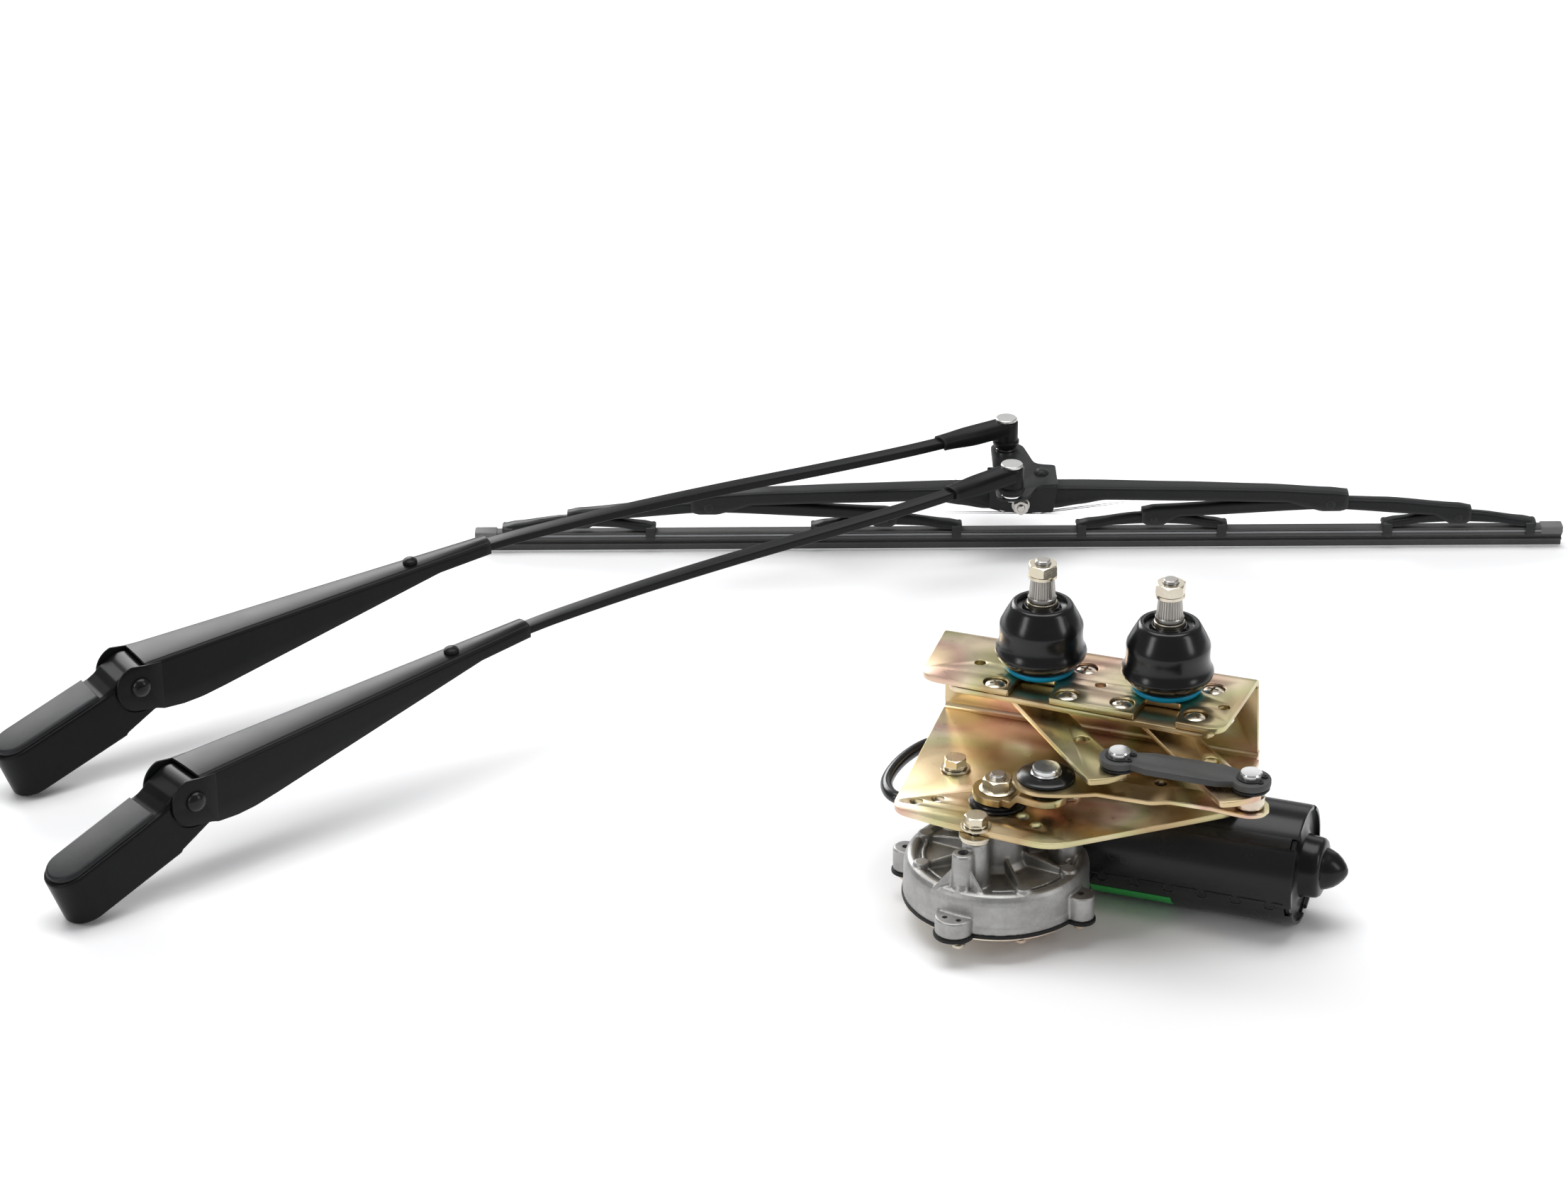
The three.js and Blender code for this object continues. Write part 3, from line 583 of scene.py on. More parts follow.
# %% Making a piece
def piece(name, form, material, place, body, replaces=(), crease=32):
    points, faces = form
    mesh = bpy.data.meshes.new(name)
    mesh.from_pydata([MM * (place @ Vector(point)) for point in points], [], faces)
    shape = bmesh.new()
    shape.from_mesh(mesh)
    bmesh.ops.remove_doubles(shape, verts=shape.verts, dist=1e-6)
    bmesh.ops.recalc_face_normals(shape, faces=shape.faces)
    shape.to_mesh(mesh)
    shape.free()
    obj = bpy.data.objects.new(name, mesh)
    bpy.context.collection.objects.link(obj)
    mesh.materials.append(material)
    mesh.polygons.foreach_set("use_smooth", [True] * len(mesh.polygons))
    mesh.set_sharp_from_angle(angle=math.radians(crease))
    if body is not None:
        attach(obj, body)
    if replaces:
        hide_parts(*([replaces] if isinstance(replaces, str) else replaces))
    return obj


def cast_skin(obj, voxel_mm, passes):
    """Melts overlapping forms to one skin with cast fillets."""
    body = obj["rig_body"]
    remesh = obj.modifiers.new("skin", "REMESH")
    remesh.mode = "VOXEL"
    remesh.voxel_size = voxel_mm * MM
    relax = obj.modifiers.new("relax", "SMOOTH")
    relax.factor = 0.5
    relax.iterations = passes
    bpy.context.view_layer.update()
    graph = bpy.context.evaluated_depsgraph_get()
    mesh = bpy.data.meshes.new_from_object(obj.evaluated_get(graph), depsgraph=graph)
    obj.modifiers.clear()
    for material in obj.data.materials:
        if material.name not in mesh.materials:
            mesh.materials.append(material)
    obj.data = mesh
    mesh.polygons.foreach_set("use_smooth", [True] * len(mesh.polygons))
    print(obj.name, "skin on", body, len(mesh.polygons), "faces")
    return obj


def cut_away(obj, form, place):
    """Cuts a form out of a piece."""
    tool = piece(obj.name + "_cutter", form, obj.data.materials[0], place, None)
    boolean = obj.modifiers.new("cut", "BOOLEAN")
    boolean.object = tool
    boolean.operation = "DIFFERENCE"
    boolean.solver = "EXACT"
    bpy.context.view_layer.update()
    graph = bpy.context.evaluated_depsgraph_get()
    mesh = bpy.data.meshes.new_from_object(obj.evaluated_get(graph), depsgraph=graph)
    obj.modifiers.clear()
    obj.data = mesh
    mesh.set_sharp_from_angle(angle=math.radians(32))
    bpy.data.objects.remove(tool)
    return obj

# %% [markdown]
# Pieces that are closed in, such as the worm, the armature and the magnet, keep their CAD shape and
# only need a material.

# %% Finishes on the kept CAD nodes
def dress(node, material):
    data = frame["nodes"][node].data
    data.materials.clear()
    data.materials.append(material)


for node, material in {
    "worm_shaft": bright_steel,
    "armature": copper_wire,
    "worm_wheel": acetal,
    "field_magnet": ferrite,
    "brush_card": black_plastic,
    "output_shaft": bright_steel,
}.items():
    dress(node, material)

# %% [markdown]
# The bracket is one pressed plate folded to a C: a top flange round the two spindles, a back web, and a
# large lower plate that carries the gearbox. Flat plates with rolled edges are joined by the two folds.

# %% Bracket
SPINDLES = [(2, 79), (2 + PITCH, 79)]
LEVER_REACH = Vector((75, -80))
LINK_PINS = [tuple(Vector(place) + LEVER_REACH) for place in SPINDLES]
CRANK_PIN = (32, -4)
BOLTS = [(-38, 32), (-3, -34), (38, 24)]
PLATE_LOW, PLATE_HIGH = 77, 81
FLANGE_LOW, FLANGE_HIGH = 132, 136
BACK = 115
FOLD = 7
FLANGE_SCREWS = [(x + dx, y + dy) for x, y in SPINDLES for dx, dy in ((-21, -27), (26, -28), (27, 10))]


def fold_section(outer_z, inner_sign):
    """The quarter bend between a level plate whose outer face is at outer_z and the back web."""
    centre = Vector((BACK - FOLD, outer_z + inner_sign * FOLD))
    section = []
    for radius, steps in ((FOLD, range(0, 9)), (FOLD - 4, range(8, -1, -1))):
        for step in steps:
            angle = math.pi / 2 * step / 8
            section.append(
                (centre.x + radius * math.cos(angle), centre.y - inner_sign * radius * math.sin(angle))
            )
    return section


def bracket():
    holes = [
        circle(x, y, 4.1)
        for x, y in ((-47.5, -15.5), (-36, -8), (20, -11.5), (31, -19.5), (60, 62), (88, 58))
    ]
    lower = plate(
        rounded([
            (-71, BACK - FOLD), (-60, -28, 11), (-22, -35.5, 12), (46, -41, 12), (142, 40, 9),
            (138, BACK - FOLD),
        ]),
        PLATE_LOW,
        PLATE_HIGH,
        holes + [circle(0, 0, 12)],
    )
    notch = [(-8, 43, 1.5), (-7, 66, 3), (17, 66, 3), (18.5, 42, 1.5)]
    front = [(x + offset, y - offset * 0.05, reach) for offset in (0, PITCH) for x, y, reach in notch]
    flange = plate(
        rounded([(-71, BACK - FOLD), (-67, 46, 12)] + front + [(131, 36, 12), (134, BACK - FOLD)]),
        FLANGE_LOW,
        FLANGE_HIGH,
        [circle(x, 79, 10.6) for x, _ in SPINDLES]
        + [circle(x, y, 3.6) for x, y in ((-36, 74), (44, 70), (124, 67))]
        + [circle(x, y, 7.7) for x, y in FLANGE_SCREWS],
    )
    web = plate(
        [
            (-71, PLATE_LOW + FOLD), (136, PLATE_LOW + FOLD), (134, FLANGE_HIGH - FOLD),
            (-71, FLANGE_HIGH - FOLD),
        ],
        -BACK,
        -BACK + 4,
        [slot((94, 106), (112, 106), 8), slot((-30, 106), (-18, 106), 5)],
    )
    low_fold = sweep([(-70.6, 0, 0), (136.4, 0, 0)], fold_section(PLATE_LOW, 1))
    high_fold = sweep([(-70.6, 0, 0), (133.8, 0, 0)], fold_section(FLANGE_HIGH, -1))
    form = gathered(lower, flange, moved(web, turn("X", math.pi / 2)), low_fold, high_fold)
    piece("bracket_pressing", form, yellow_zinc, DRIVE, "base", "bracket")


bracket()


def carrier():
    front = [(-58, 104, 8), (-48, 45, 8), (40, 40.5, 10), (124, 36.5, 8), (126, 104, 8)]
    flat = plate(rounded(front), 128, 131.6, [circle(x, 79, 10.6) for x, _ in SPINDLES])
    piece("carrier_pressing", flat, yellow_zinc, DRIVE, "base", "carrier_plate")


carrier()

# %% [markdown]
# Bolts and nuts: a hexagon's turned chamfer leaves curved corners. Each bolt has a split lock washer and
# a flat washer under its head.

# %% Bolts
def washer(outer, inner, low, high):
    return lathe([
        (inner, low), (outer - 0.3, low), (outer, low + 0.3), (outer, high - 0.3), (outer - 0.3, high),
        (inner, high),
    ], 48)


def lock_washer(outer, inner, low, high):
    """A split ring whose two ends stand a little apart in height."""
    section = [(inner, 0), (outer, 0), (outer, high - low), (inner, high - low)]
    points, faces = [], []
    steps = 44
    for i in range(steps + 1):
        angle = 2 * math.pi * (i / steps) * 0.975
        rise = low + 0.5 * (i / steps)
        points += [Vector((r * math.cos(angle), r * math.sin(angle), rise + z)) for r, z in section]
    for i in range(steps):
        for j in range(4):
            k = (j + 1) % 4
            faces.append((i * 4 + j, i * 4 + k, (i + 1) * 4 + k, (i + 1) * 4 + j))
    faces += [(3, 2, 1, 0), tuple(steps * 4 + j for j in range(4))]
    return points, faces


def mount_bolt(index, x, y):
    head = moved(hex_form(13, 84.1, 89.6), turn("Z", 0.4 * index))
    rim = lathe([(0, 53), (3.9, 53), (3.9, 84.2), (0, 84.2)], 28)
    form = gathered(head, rim, washer(9.4, 4, 81.1, 82.6), lock_washer(7.4, 4, 82.6, 84))
    piece(
        f"mount_bolt_{index}_steel", form, pale_zinc, DRIVE @ shift(x, y, 0), "base", f"mount_bolt_{index}",
    )


for number, (x, y) in enumerate(BOLTS, 1):
    mount_bolt(number, x, y)


def post_washers():
    form = gathered(washer(10.5, 5, 74.9, 76.9), washer(9.6, 5, 72.9, 74.8))
    piece("post_washers", form, pale_zinc, DRIVE @ shift(*BOLTS[1], 0), "base", ())


post_washers()

# %% [markdown]
# The spindles: rubber boots with a moulded bead and a sunk top, a coloured ring under each, and the
# splined taper, lock washer and nut above.

# %% Boots and spindles
def boot(side, x, y):
    profile = [
        (10.6, 136.4), (18.8, 136.4), (20.2, 138.6), (22.8, 141), (26, 144.2), (28.2, 147.4), (28.9, 149.6),
        (28.7, 151), (27.6, 153), (26.6, 155.6), (26.1, 158.8), (26.1, 163.4), (26.3, 166.8), (26, 168.8),
        (23.2, 174.4), (20.4, 179.6), (19.2, 181.6), (17.8, 182.4), (16, 182.4), (15, 181.2), (14.8, 179.4),
        (12.4, 178.8), (11.6, 179.6), (11, 181), (10.2, 181), (10.2, 179),
    ]
    place = DRIVE @ shift(x, y, 0)
    piece(
        f"boot_{side}_moulding", lathe(profile, 120), boot_rubber, place, "base", f"boot_{side}",
        50,
    )
    ring = [
        (18.4, 136.2), (20.2, 136.3), (21.6, 137.2), (22.4, 138.6), (22.8, 140.2), (22.2, 140.8),
        (20, 138.8),
    ]
    piece(f"boot_{side}_ring", lathe(ring, 120), ring_plastic, place, "base", (), 60)
    bush = softened([(9.6, 121.6), (9.6, 183.9), (6.4, 183.9), (6.4, 121.6)][::-1], 0.4)
    piece(
        f"bush_{side}_tube", lathe(bush, 48), pale_zinc, place, "base", f"spindle_bush_{side}",
    )


def splined(low, high, low_radius, high_radius, teeth=30, depth=0.8):
    segments = teeth * 4
    points, faces = [], []
    for height, radius in ((low, low_radius), (high, high_radius)):
        for i in range(segments):
            angle = 2 * math.pi * i / segments
            groove = depth if i % 4 in (2, 3) else 0
            here = radius - groove
            points.append(Vector((here * math.cos(angle), here * math.sin(angle), height)))
    for i in range(segments):
        j = (i + 1) % segments
        faces.append((i, j, segments + j, segments + i))
    faces += [tuple(range(segments))[::-1], tuple(range(segments, 2 * segments))]
    return points, faces


def threaded(radius, low, high, pitch=1.25, depth=0.45):
    """Thread crests as rings: at this size they read as a thread."""
    profile = [(0, low)]
    turns = int((high - low - 0.6) / pitch)
    for i in range(turns):
        start = low + i * pitch
        profile += [(radius - depth, start), (radius, start + pitch * 0.5)]
    profile += [(radius - depth, high - 0.5), (radius - depth - 0.6, high), (0, high)]
    return lathe(profile, 48)


def spindle(side, x, y, start):
    place = DRIVE @ shift(x, y, 0)
    shaft = [
        (0, 111), (5.4, 111), (6, 111.6), (6, 184.2), (8.4, 184.2), (9, 184.8), (9, 186.6), (8.6, 187.2),
        (0, 187.2),
    ]
    form = gathered(lathe(shaft, 48), splined(187.1, 199.5, 8.4, 7.4), threaded(5, 199.4, 212))
    piece(
        f"spindle_{side}_shaft", form, spline_steel, place, f"spindle_{side}", f"spindle_{side}",
    )
    lock = lock_washer(9, 5.4, 199.7, 201.6)
    nut = moved(hex_form(17, 202, 209.4, 5.2, True), turn("Z", start))
    piece(
        f"spindle_{side}_nut", gathered(nut, lock), pale_zinc, place, f"spindle_{side}",
        f"spindle_nut_{side}",
    )


for side, (x, y), start in zip(("left", "right"), SPINDLES, (0.35, 0.1)):
    boot(side, x, y)
    spindle(side, x, y, start)

# %% [markdown]
# Cross-head screws hold the flange to the carrier plate, three round each spindle. Each head sits in a
# wide hole in the flange, and its cross is cut as geometry.

# %% Cross-head screws
def cross_screw(name, x, y, tilt):
    head = lathe(
        [(0, 135.9), (3, 135.7), (5.4, 135.1), (6.6, 134.3), (6.8, 133.4), (6.8, 131.6), (0, 131.6)][::-1],
        48,
    )
    place = DRIVE @ shift(x, y, 0)
    obj = piece(name, head, pale_zinc, place, "base", ())
    bar = box_form(-3.6, 3.6, -0.8, 0.8, 133.4, 137)
    cut_away(obj, gathered(bar), place @ turn("Z", tilt))
    cut_away(obj, gathered(bar), place @ turn("Z", tilt + math.pi / 2))


for number, (x, y) in enumerate(FLANGE_SCREWS, 1):
    cross_screw(f"flange_screw_{number}", x, y, 0.5 * number)

# %% [markdown]
# The levers are thick flat bars with clipped corners. The left lever, the right lever and the dark bar
# that joins them move together. Pins with ground heads and sprung clips hold the bar.

# %% Levers, bar and link
def lever(side, x, y):
    pin = Vector((x, y)) + LEVER_REACH
    corners = [
        (x - 23, y - 6, 12), (x - 6, y + 14, 10), (x + 13, y + 11, 10), (x + 16, y - 14, 8),
        (pin.x + 9, pin.y - 5, 3), (pin.x - 2, pin.y - 17.5, 3), (pin.x - 12.3, pin.y - 23.4, 3),
    ]
    form = plate(rounded(corners, 5), 117, 121, [circle(x, y, 6.1), circle(pin.x - 31, pin.y + 25, 5)], 0.5)
    boss = lathe([(6.1, 113), (11, 113), (11, 117.2), (6.1, 117.2)], 40)
    form = gathered(form, moved(boss, shift(x, y, 0)))
    piece(f"lever_{side}_bar", form, yellow_zinc, DRIVE, f"spindle_{side}", f"lever_{side}")


def link_pin(side, x, y, foot):
    place = DRIVE @ shift(x, y, 0)
    body = f"spindle_{side}"
    stem = lathe([(0, foot), (4.4, foot), (5, foot + 0.6), (5, 130), (0, 130)], 40)
    head = lathe([(0, 127.9), (6.4, 127.9), (6.8, 128.3), (6.8, 131.6), (6.2, 132.4), (0, 132.7)], 48)
    piece(
        f"link_pin_{side}_steel", gathered(stem, head), bright_steel, place, body, f"link_pin_{side}",
    )
    spacer = lathe(
        [(5.2, 121.2), (11.4, 121.2), (11.8, 121.7), (11.6, 122.8), (10, 123.5), (5.2, 123.5)], 48,
    )
    clip_points = [
        Vector((7.7 * math.cos(a), 7.7 * math.sin(a), 128.6))
        for a in [0.5 + 5.1 * i / 30 for i in range(31)]
    ]
    clip = sweep(clip_points, [(-0.9, -0.4), (0.9, -0.4), (0.9, 0.4), (-0.9, 0.4)])
    ears = gathered(*[
        moved(
            lathe([(0.7, 128.2), (1.9, 128.2), (1.9, 129.2), (0.7, 129.2)], 16),
            shift(8.6 * math.cos(a), 8.6 * math.sin(a), 0),
        )
        for a in (0.36, -0.60)
    ])
    piece(
        f"link_pin_{side}_fittings", gathered(spacer, clip, ears), black_plastic, place, body, (),
    )


for side, (x, y), foot in zip(("left", "right"), SPINDLES, (113, 102)):
    lever(side, x, y)
    pin = Vector((x, y)) + LEVER_REACH
    link_pin(side, pin.x, pin.y, foot)


def dog_bone(start, end, eye, waist, steps=24):
    """An outline with a round eye at each end and a narrower waist between them."""
    start, end = Vector(start), Vector(end)
    along = (end - start).normalized()
    opening = math.radians(42)
    outline = []
    for centre, ahead in ((start, along), (end, -along)):
        across = Vector((-ahead.y, ahead.x))
        for i in range(steps + 1):
            angle = opening + 2 * (math.pi - opening) * i / steps
            outline.append(centre + eye * (ahead * math.cos(angle) + across * math.sin(angle)))
        outline.append(centre + ahead * 19 - across * waist)
        outline.append(centre + ahead * 24 - across * waist)
        outline.append(centre + ahead * ((end - start).length - 24) - across * waist)
        outline.append(centre + ahead * ((end - start).length - 19) - across * waist)
    return outline


def sync_bar():
    left, right = LINK_PINS
    form = plate(
        dog_bone(left, right, 12.4, 11.2), 123.6, 128.2, [circle(x, y, 5.3) for x, y in LINK_PINS], 0.9,
    )
    piece("sync_link_bar", form, link_paint, DRIVE, "sync_link", "sync_link")


sync_bar()


def pressed_bar(start, end, radii, low, wall, joggle, steps=48):
    """A long flat bar whose end eyes are wider than its waist, with a raised run between two joggles."""
    start, end = Vector(start), Vector(end)
    length = (end - start).length
    heading = math.atan2(end.y - start.y, end.x - start.x)
    first, waist, last = radii
    stations = []
    for i in range(steps + 1):
        t = i / steps
        x = -first + (length + first + last) * t
        half = waist
        if x < 0:
            half = math.sqrt(max(first**2 - x**2, 0.01))
        elif x < first * 1.6:
            half = first + (waist - first) * (x / (first * 1.6)) ** 1.5
        if x > length:
            half = math.sqrt(max(last**2 - (x - length) ** 2, 0.01))
        elif x > length - last * 1.8:
            half = last + (waist - last) * ((length - x) / (last * 1.8)) ** 1.5
        rise = joggle(x, length)
        stations.append((x, half, rise))
    points, faces = [], []
    for x, half, rise in stations:
        edge = min(0.5, half * 0.4)
        ring = [
            (-half, low + edge), (-half + edge, low), (half - edge, low), (half, low + edge),
            (half, low + wall - edge), (half - edge, low + wall), (-half + edge, low + wall),
            (-half, low + wall - edge),
        ]
        points += [Vector((x, y, z + rise)) for y, z in ring]
    for i in range(len(stations) - 1):
        for j in range(8):
            k = (j + 1) % 8
            faces.append((i * 8 + j, i * 8 + k, (i + 1) * 8 + k, (i + 1) * 8 + j))
    last_row = (len(stations) - 1) * 8
    faces += [tuple(range(8))[::-1], tuple(range(last_row, last_row + 8))]
    return moved((points, faces), shift(*start, 0) @ turn("Z", heading))


def ease(value, low, high):
    t = min(max((value - low) / (high - low), 0), 1)
    return t * t * (3 - 2 * t)


def drive_link():
    form = pressed_bar(
        CRANK_PIN, LINK_PINS[1], (21, 9.5, 12), 103.4, 3,
        lambda x, length: 2.6 * ease(x, 66, 82),
        96,
    )
    piece("drive_link_bar", form, yellow_zinc, DRIVE, "drive_link", "drive_link")
    place = DRIVE @ shift(*CRANK_PIN, 0)
    disc = lathe([(0, 106.4), (17.4, 106.4), (18, 107.2), (17.6, 108.6), (15.6, 109.6), (0, 109.8)], 72)
    piece("drive_link_disc", disc, boot_rubber, place, "drive_link", ())
    head = lathe(
        [(0, 109.7), (9.2, 109.7), (9.6, 110.4), (8.9, 111), (8.6, 113.6), (7.9, 114.4), (0, 114.6)], 48,
    )
    piece("drive_link_pin_head", head, bright_steel, place, "drive_link", ())
    spacer = lathe([(5.2, 110), (9, 110), (9, 116.6), (5.2, 116.6)], 48)
    piece(
        "drive_link_spacer", moved(spacer, shift(*LINK_PINS[1], 0)), pale_zinc, DRIVE, "spindle_right", (),
    )


drive_link()

# %% [markdown]
# The crank is clamped on the output shaft by a flange nut, steps up at the joggle, and carries the pin
# with its thick black disc. A rubber seal with a stepped lip sits under it.

# %% Crank
def crank_arm():
    start, end = (0, 0), (32.2, 0)
    form = pressed_bar(start, end, (15.8, 12.5, 13.5), 85.9, 5, lambda x, length: 5.5 * ease(x, 13, 19), 84)
    place = DRIVE @ turn("Z", math.atan2(CRANK_PIN[1], CRANK_PIN[0]))
    piece("crank_arm_bar", form, yellow_zinc, place, "crank", "crank_arm")
    flange = lathe([(5.2, 90.8), (11.2, 90.8), (11.6, 91.4), (9.4, 92.6), (5.2, 92.6)], 48)
    nut = hex_form(17, 91.9, 98.8, 5.2)
    piece("crank_nut_steel", gathered(flange, nut), pale_zinc, DRIVE, "crank", "crank_nut")
    piece("crank_shaft_end", threaded(5.15, 90.6, 101.6), spline_steel, DRIVE, "crank", ())
    disc = lathe([(0, 96.2), (9, 96.2), (9.4, 96.6), (9.4, 103), (9, 103.4), (0, 103.4)], 72)
    stem = lathe([(0, 90), (5, 90), (5, 97), (0, 97)], 32)
    piece(
        "crank_disc", gathered(disc, stem), boot_rubber, DRIVE @ shift(*CRANK_PIN, 0), "crank", "crank_pin",
    )


crank_arm()


def output_seal():
    seal = lathe([
        (6.6, 81.2), (17.4, 81.2), (18, 82), (17.4, 83), (15.6, 83.4), (15, 84.4), (13.6, 85.4), (9, 85.8),
        (6.6, 85.2),
    ], 72)
    piece("output_seal_lip", seal, boot_rubber, DRIVE, "base", "output_seal")


output_seal()

# %% [markdown]
# The gearbox housing is one casting: a drum with a raised rim, ribs that climb to the hub, posts for
# the bolts, lugs for the cover, and the tunnel for the worm. Overlapping solids are melted to one skin by
# a voxel remesh, which gives the soft fillets of a casting, and the threaded holes are cut afterwards.

# %% Gearbox
def tapered(x, y, low, high, low_radius, high_radius, lip=0.8):
    profile = [(0, low), (low_radius, low), (high_radius, high - lip), (high_radius - lip, high), (0, high)]
    return moved(lathe(profile, 40), shift(x, y, 0))


def rib(angle, inner, outer, inner_top, outer_top, base=40, half=1.5):
    corners = [(inner, base), (outer, base), (outer, outer_top), (inner, inner_top)]
    outline = [Vector(corner) for corner in corners]
    upright = plate(outline, -half, half, (), 0.4)
    return moved(upright, turn("Z", angle) @ turn("X", math.pi / 2))


LUGS = [
    {
        "start": (-8.5, -46), "end": (-8.5, -58), "reach": 12, "top": 31,
        "holes": [(-13.1, -62.4), (-4, -63.3)],
    },
    {"start": (44, -11), "end": (60, -15), "reach": 8, "top": 36, "holes": [(59, -15)]},
    {"start": (-46, 4), "end": (-61.5, 5.6), "reach": 8, "top": 35, "holes": [(-61.5, 5.6)]},
]
SPARE_POST = (-7.5, -45)
DRUM_LOW, DRUM_RIM = 19.5, 45.8
RIB_ANGLES = [math.radians(-8 + 45 * i) for i in range(8)]


def arc(radius, start, end, height, steps=24):
    """Points along a level arc, with angles in degrees."""
    angles = [math.radians(start + (end - start) * i / steps) for i in range(steps + 1)]
    return [Vector((radius * math.cos(a), radius * math.sin(a), height)) for a in angles]


def gearbox():
    drum = lathe(
        [
            (0, 24), (57, 24), (58, 24.8), (57.8, 39), (57, 42.4), (55.4, 44.8), (53, DRUM_RIM), (51, 45.6),
            (49.8, 44.6), (49, 42.6), (48.2, 41.6), (0, 41.6),
        ],
        96,
    )
    flange = lathe([(0, DRUM_LOW), (58.2, DRUM_LOW), (58.4, 24.2), (0, 24.2)], 96)
    tunnel = lathe([(0, -46), (15.5, -46), (17.5, -43), (18, 47), (0, 47)], 48)
    tunnel = moved(moved(tunnel, ALONG_X), shift(0, 62, 38))
    mouth_profile = [(0, 26), (20, 26), (34, 40), (37.8, 44), (38.2, 47.9), (0, 47.9)]
    mouth = moved(moved(lathe(mouth_profile, 64), ALONG_X), shift(0, 62, 38))
    skirt = plate(rounded([(-42, 30, 3), (44, 30, 3), (46, 82, 6), (-40, 80, 8)]), DRUM_LOW, 40, (), 0.6)
    wall = plate(
        rounded([(40, 2, 3), (48, 12, 2), (48, 60, 2), (30, 60, 4), (30, 8, 4)]), DRUM_LOW, 60, (), 0.8,
    )
    hub = lathe([(0, 40), (22, 40), (18.5, 46), (16.5, 60), (15.5, 76.4), (0, 76.4)], 56)
    parts = [drum, flange, tunnel, mouth, skirt, wall, hub]
    parts += [tapered(x, y, 38, 72.4 if i == 1 else 76.6, 9.6, 8.2) for i, (x, y) in enumerate(BOLTS)]
    parts.append(tapered(*SPARE_POST, 34, 68, 7.6, 6.8, 1))
    parts += [
        plate(slot(lug["start"], lug["end"], lug["reach"]), DRUM_LOW, lug["top"], (), 0.9) for lug in LUGS
    ]
    for angle in RIB_ANGLES:
        parts.append(rib(angle, 12, 50, 52, 45.4, 40, 1.1))
        parts.append(tapered(49 * math.cos(angle), 49 * math.sin(angle), 38, 47.6, 5.4, 5, 0.5))
    bead = [(1.3 * math.cos(t), 1.2 * math.sin(t)) for t in [2 * math.pi * i / 10 for i in range(10)]]
    for start, end in ((-76, -58), (-48, -12), (-3, 30), (-182, -148), (-138, -120)):
        parts.append(sweep(arc(45.6, start, end, 43.6), bead))
    for side in (-1, 1):
        gusset = plate([(4, 40), (19, 40), (19, 43), (6, 58), (4, 58)], -1.1, 1.1, (), 0.4)
        heading = turn("Z", -math.pi / 2 + side * math.radians(68)) @ turn("X", math.pi / 2)
        parts.append(moved(gusset, shift(*SPARE_POST, 0) @ heading))
    obj = piece(
        "gearbox_casting", gathered(*parts), cast_alloy, DRIVE, "base", "gearbox_housing",
    )
    cast_skin(obj, 0.7, 3)
    bores = [(*SPARE_POST, 3.3, 54, 75)]
    bores += [
        (x, y, 1.7 if len(lug["holes"]) > 1 else 2.2, lug["top"] - 9, lug["top"] + 6) for lug in LUGS
        for x, y in lug["holes"]
    ]
    holes = [
        moved(lathe([(0, low), (r, low), (r, high), (0, high)], 28), shift(x, y, 0))
        for x, y, r, low, high in bores
    ]
    cut_away(obj, gathered(*holes), DRIVE)


gearbox()


def gasket_and_cover():
    ring = plate(circle(0, 0, 58.9, 96), 17.2, 19.7, [circle(0, 0, 47, 64)], 0.5)
    tabs = [plate(slot(lug["start"], lug["end"], lug["reach"] + 0.9), 17.2, 19.7, (), 0.5) for lug in LUGS]
    piece(
        "gasket_sheet", gathered(ring, *tabs), gasket_rubber, DRIVE, "base", "gearbox_gasket",
    )
    dish = softened([
        (0, 0), (20, 0), (21, 12), (46, 14.4), (57, 14.8), (57, 17.2), (44, 17.2), (18, 14.8), (17, 2.6),
        (0, 2.6),
    ], 0.7)
    tabs = [plate(slot(lug["start"], lug["end"], lug["reach"] - 1.6), 15.6, 17.3, (), 0.4) for lug in LUGS]
    seats = ((-4, -63), (59, -15), (-61.5, 5.6), (30, -44), (-44, -30), (-30, 44))
    screws = [tapered(x, y, 12.9, 15.8, 3.9, 4.5) for x, y in seats]
    piece(
        "cover_dish", gathered(lathe(dish, 96), *tabs, *screws), pale_zinc, DRIVE, "base", "gearbox_cover",
    )


gasket_and_cover()

# %% [markdown]
# The motor can is rolled from sheet and locked by a row of dovetails, which show as a wavy seam. Its
# end plate is held by the can's edge bent over it, with a few open notches, and carries the bearing cup.

# %% Motor
MOTOR_AXIS = shift(0, 62, 38)
CRIMP_ANGLES = (0.75, 2.0, 3.3, 4.5, 5.75)


def on_can(angle, along, radius=38.05):
    """A point on the can: angle 0 faces the front, and grows upward."""
    return Vector((along, 62 - radius * math.cos(angle), 38 + radius * math.sin(angle)))


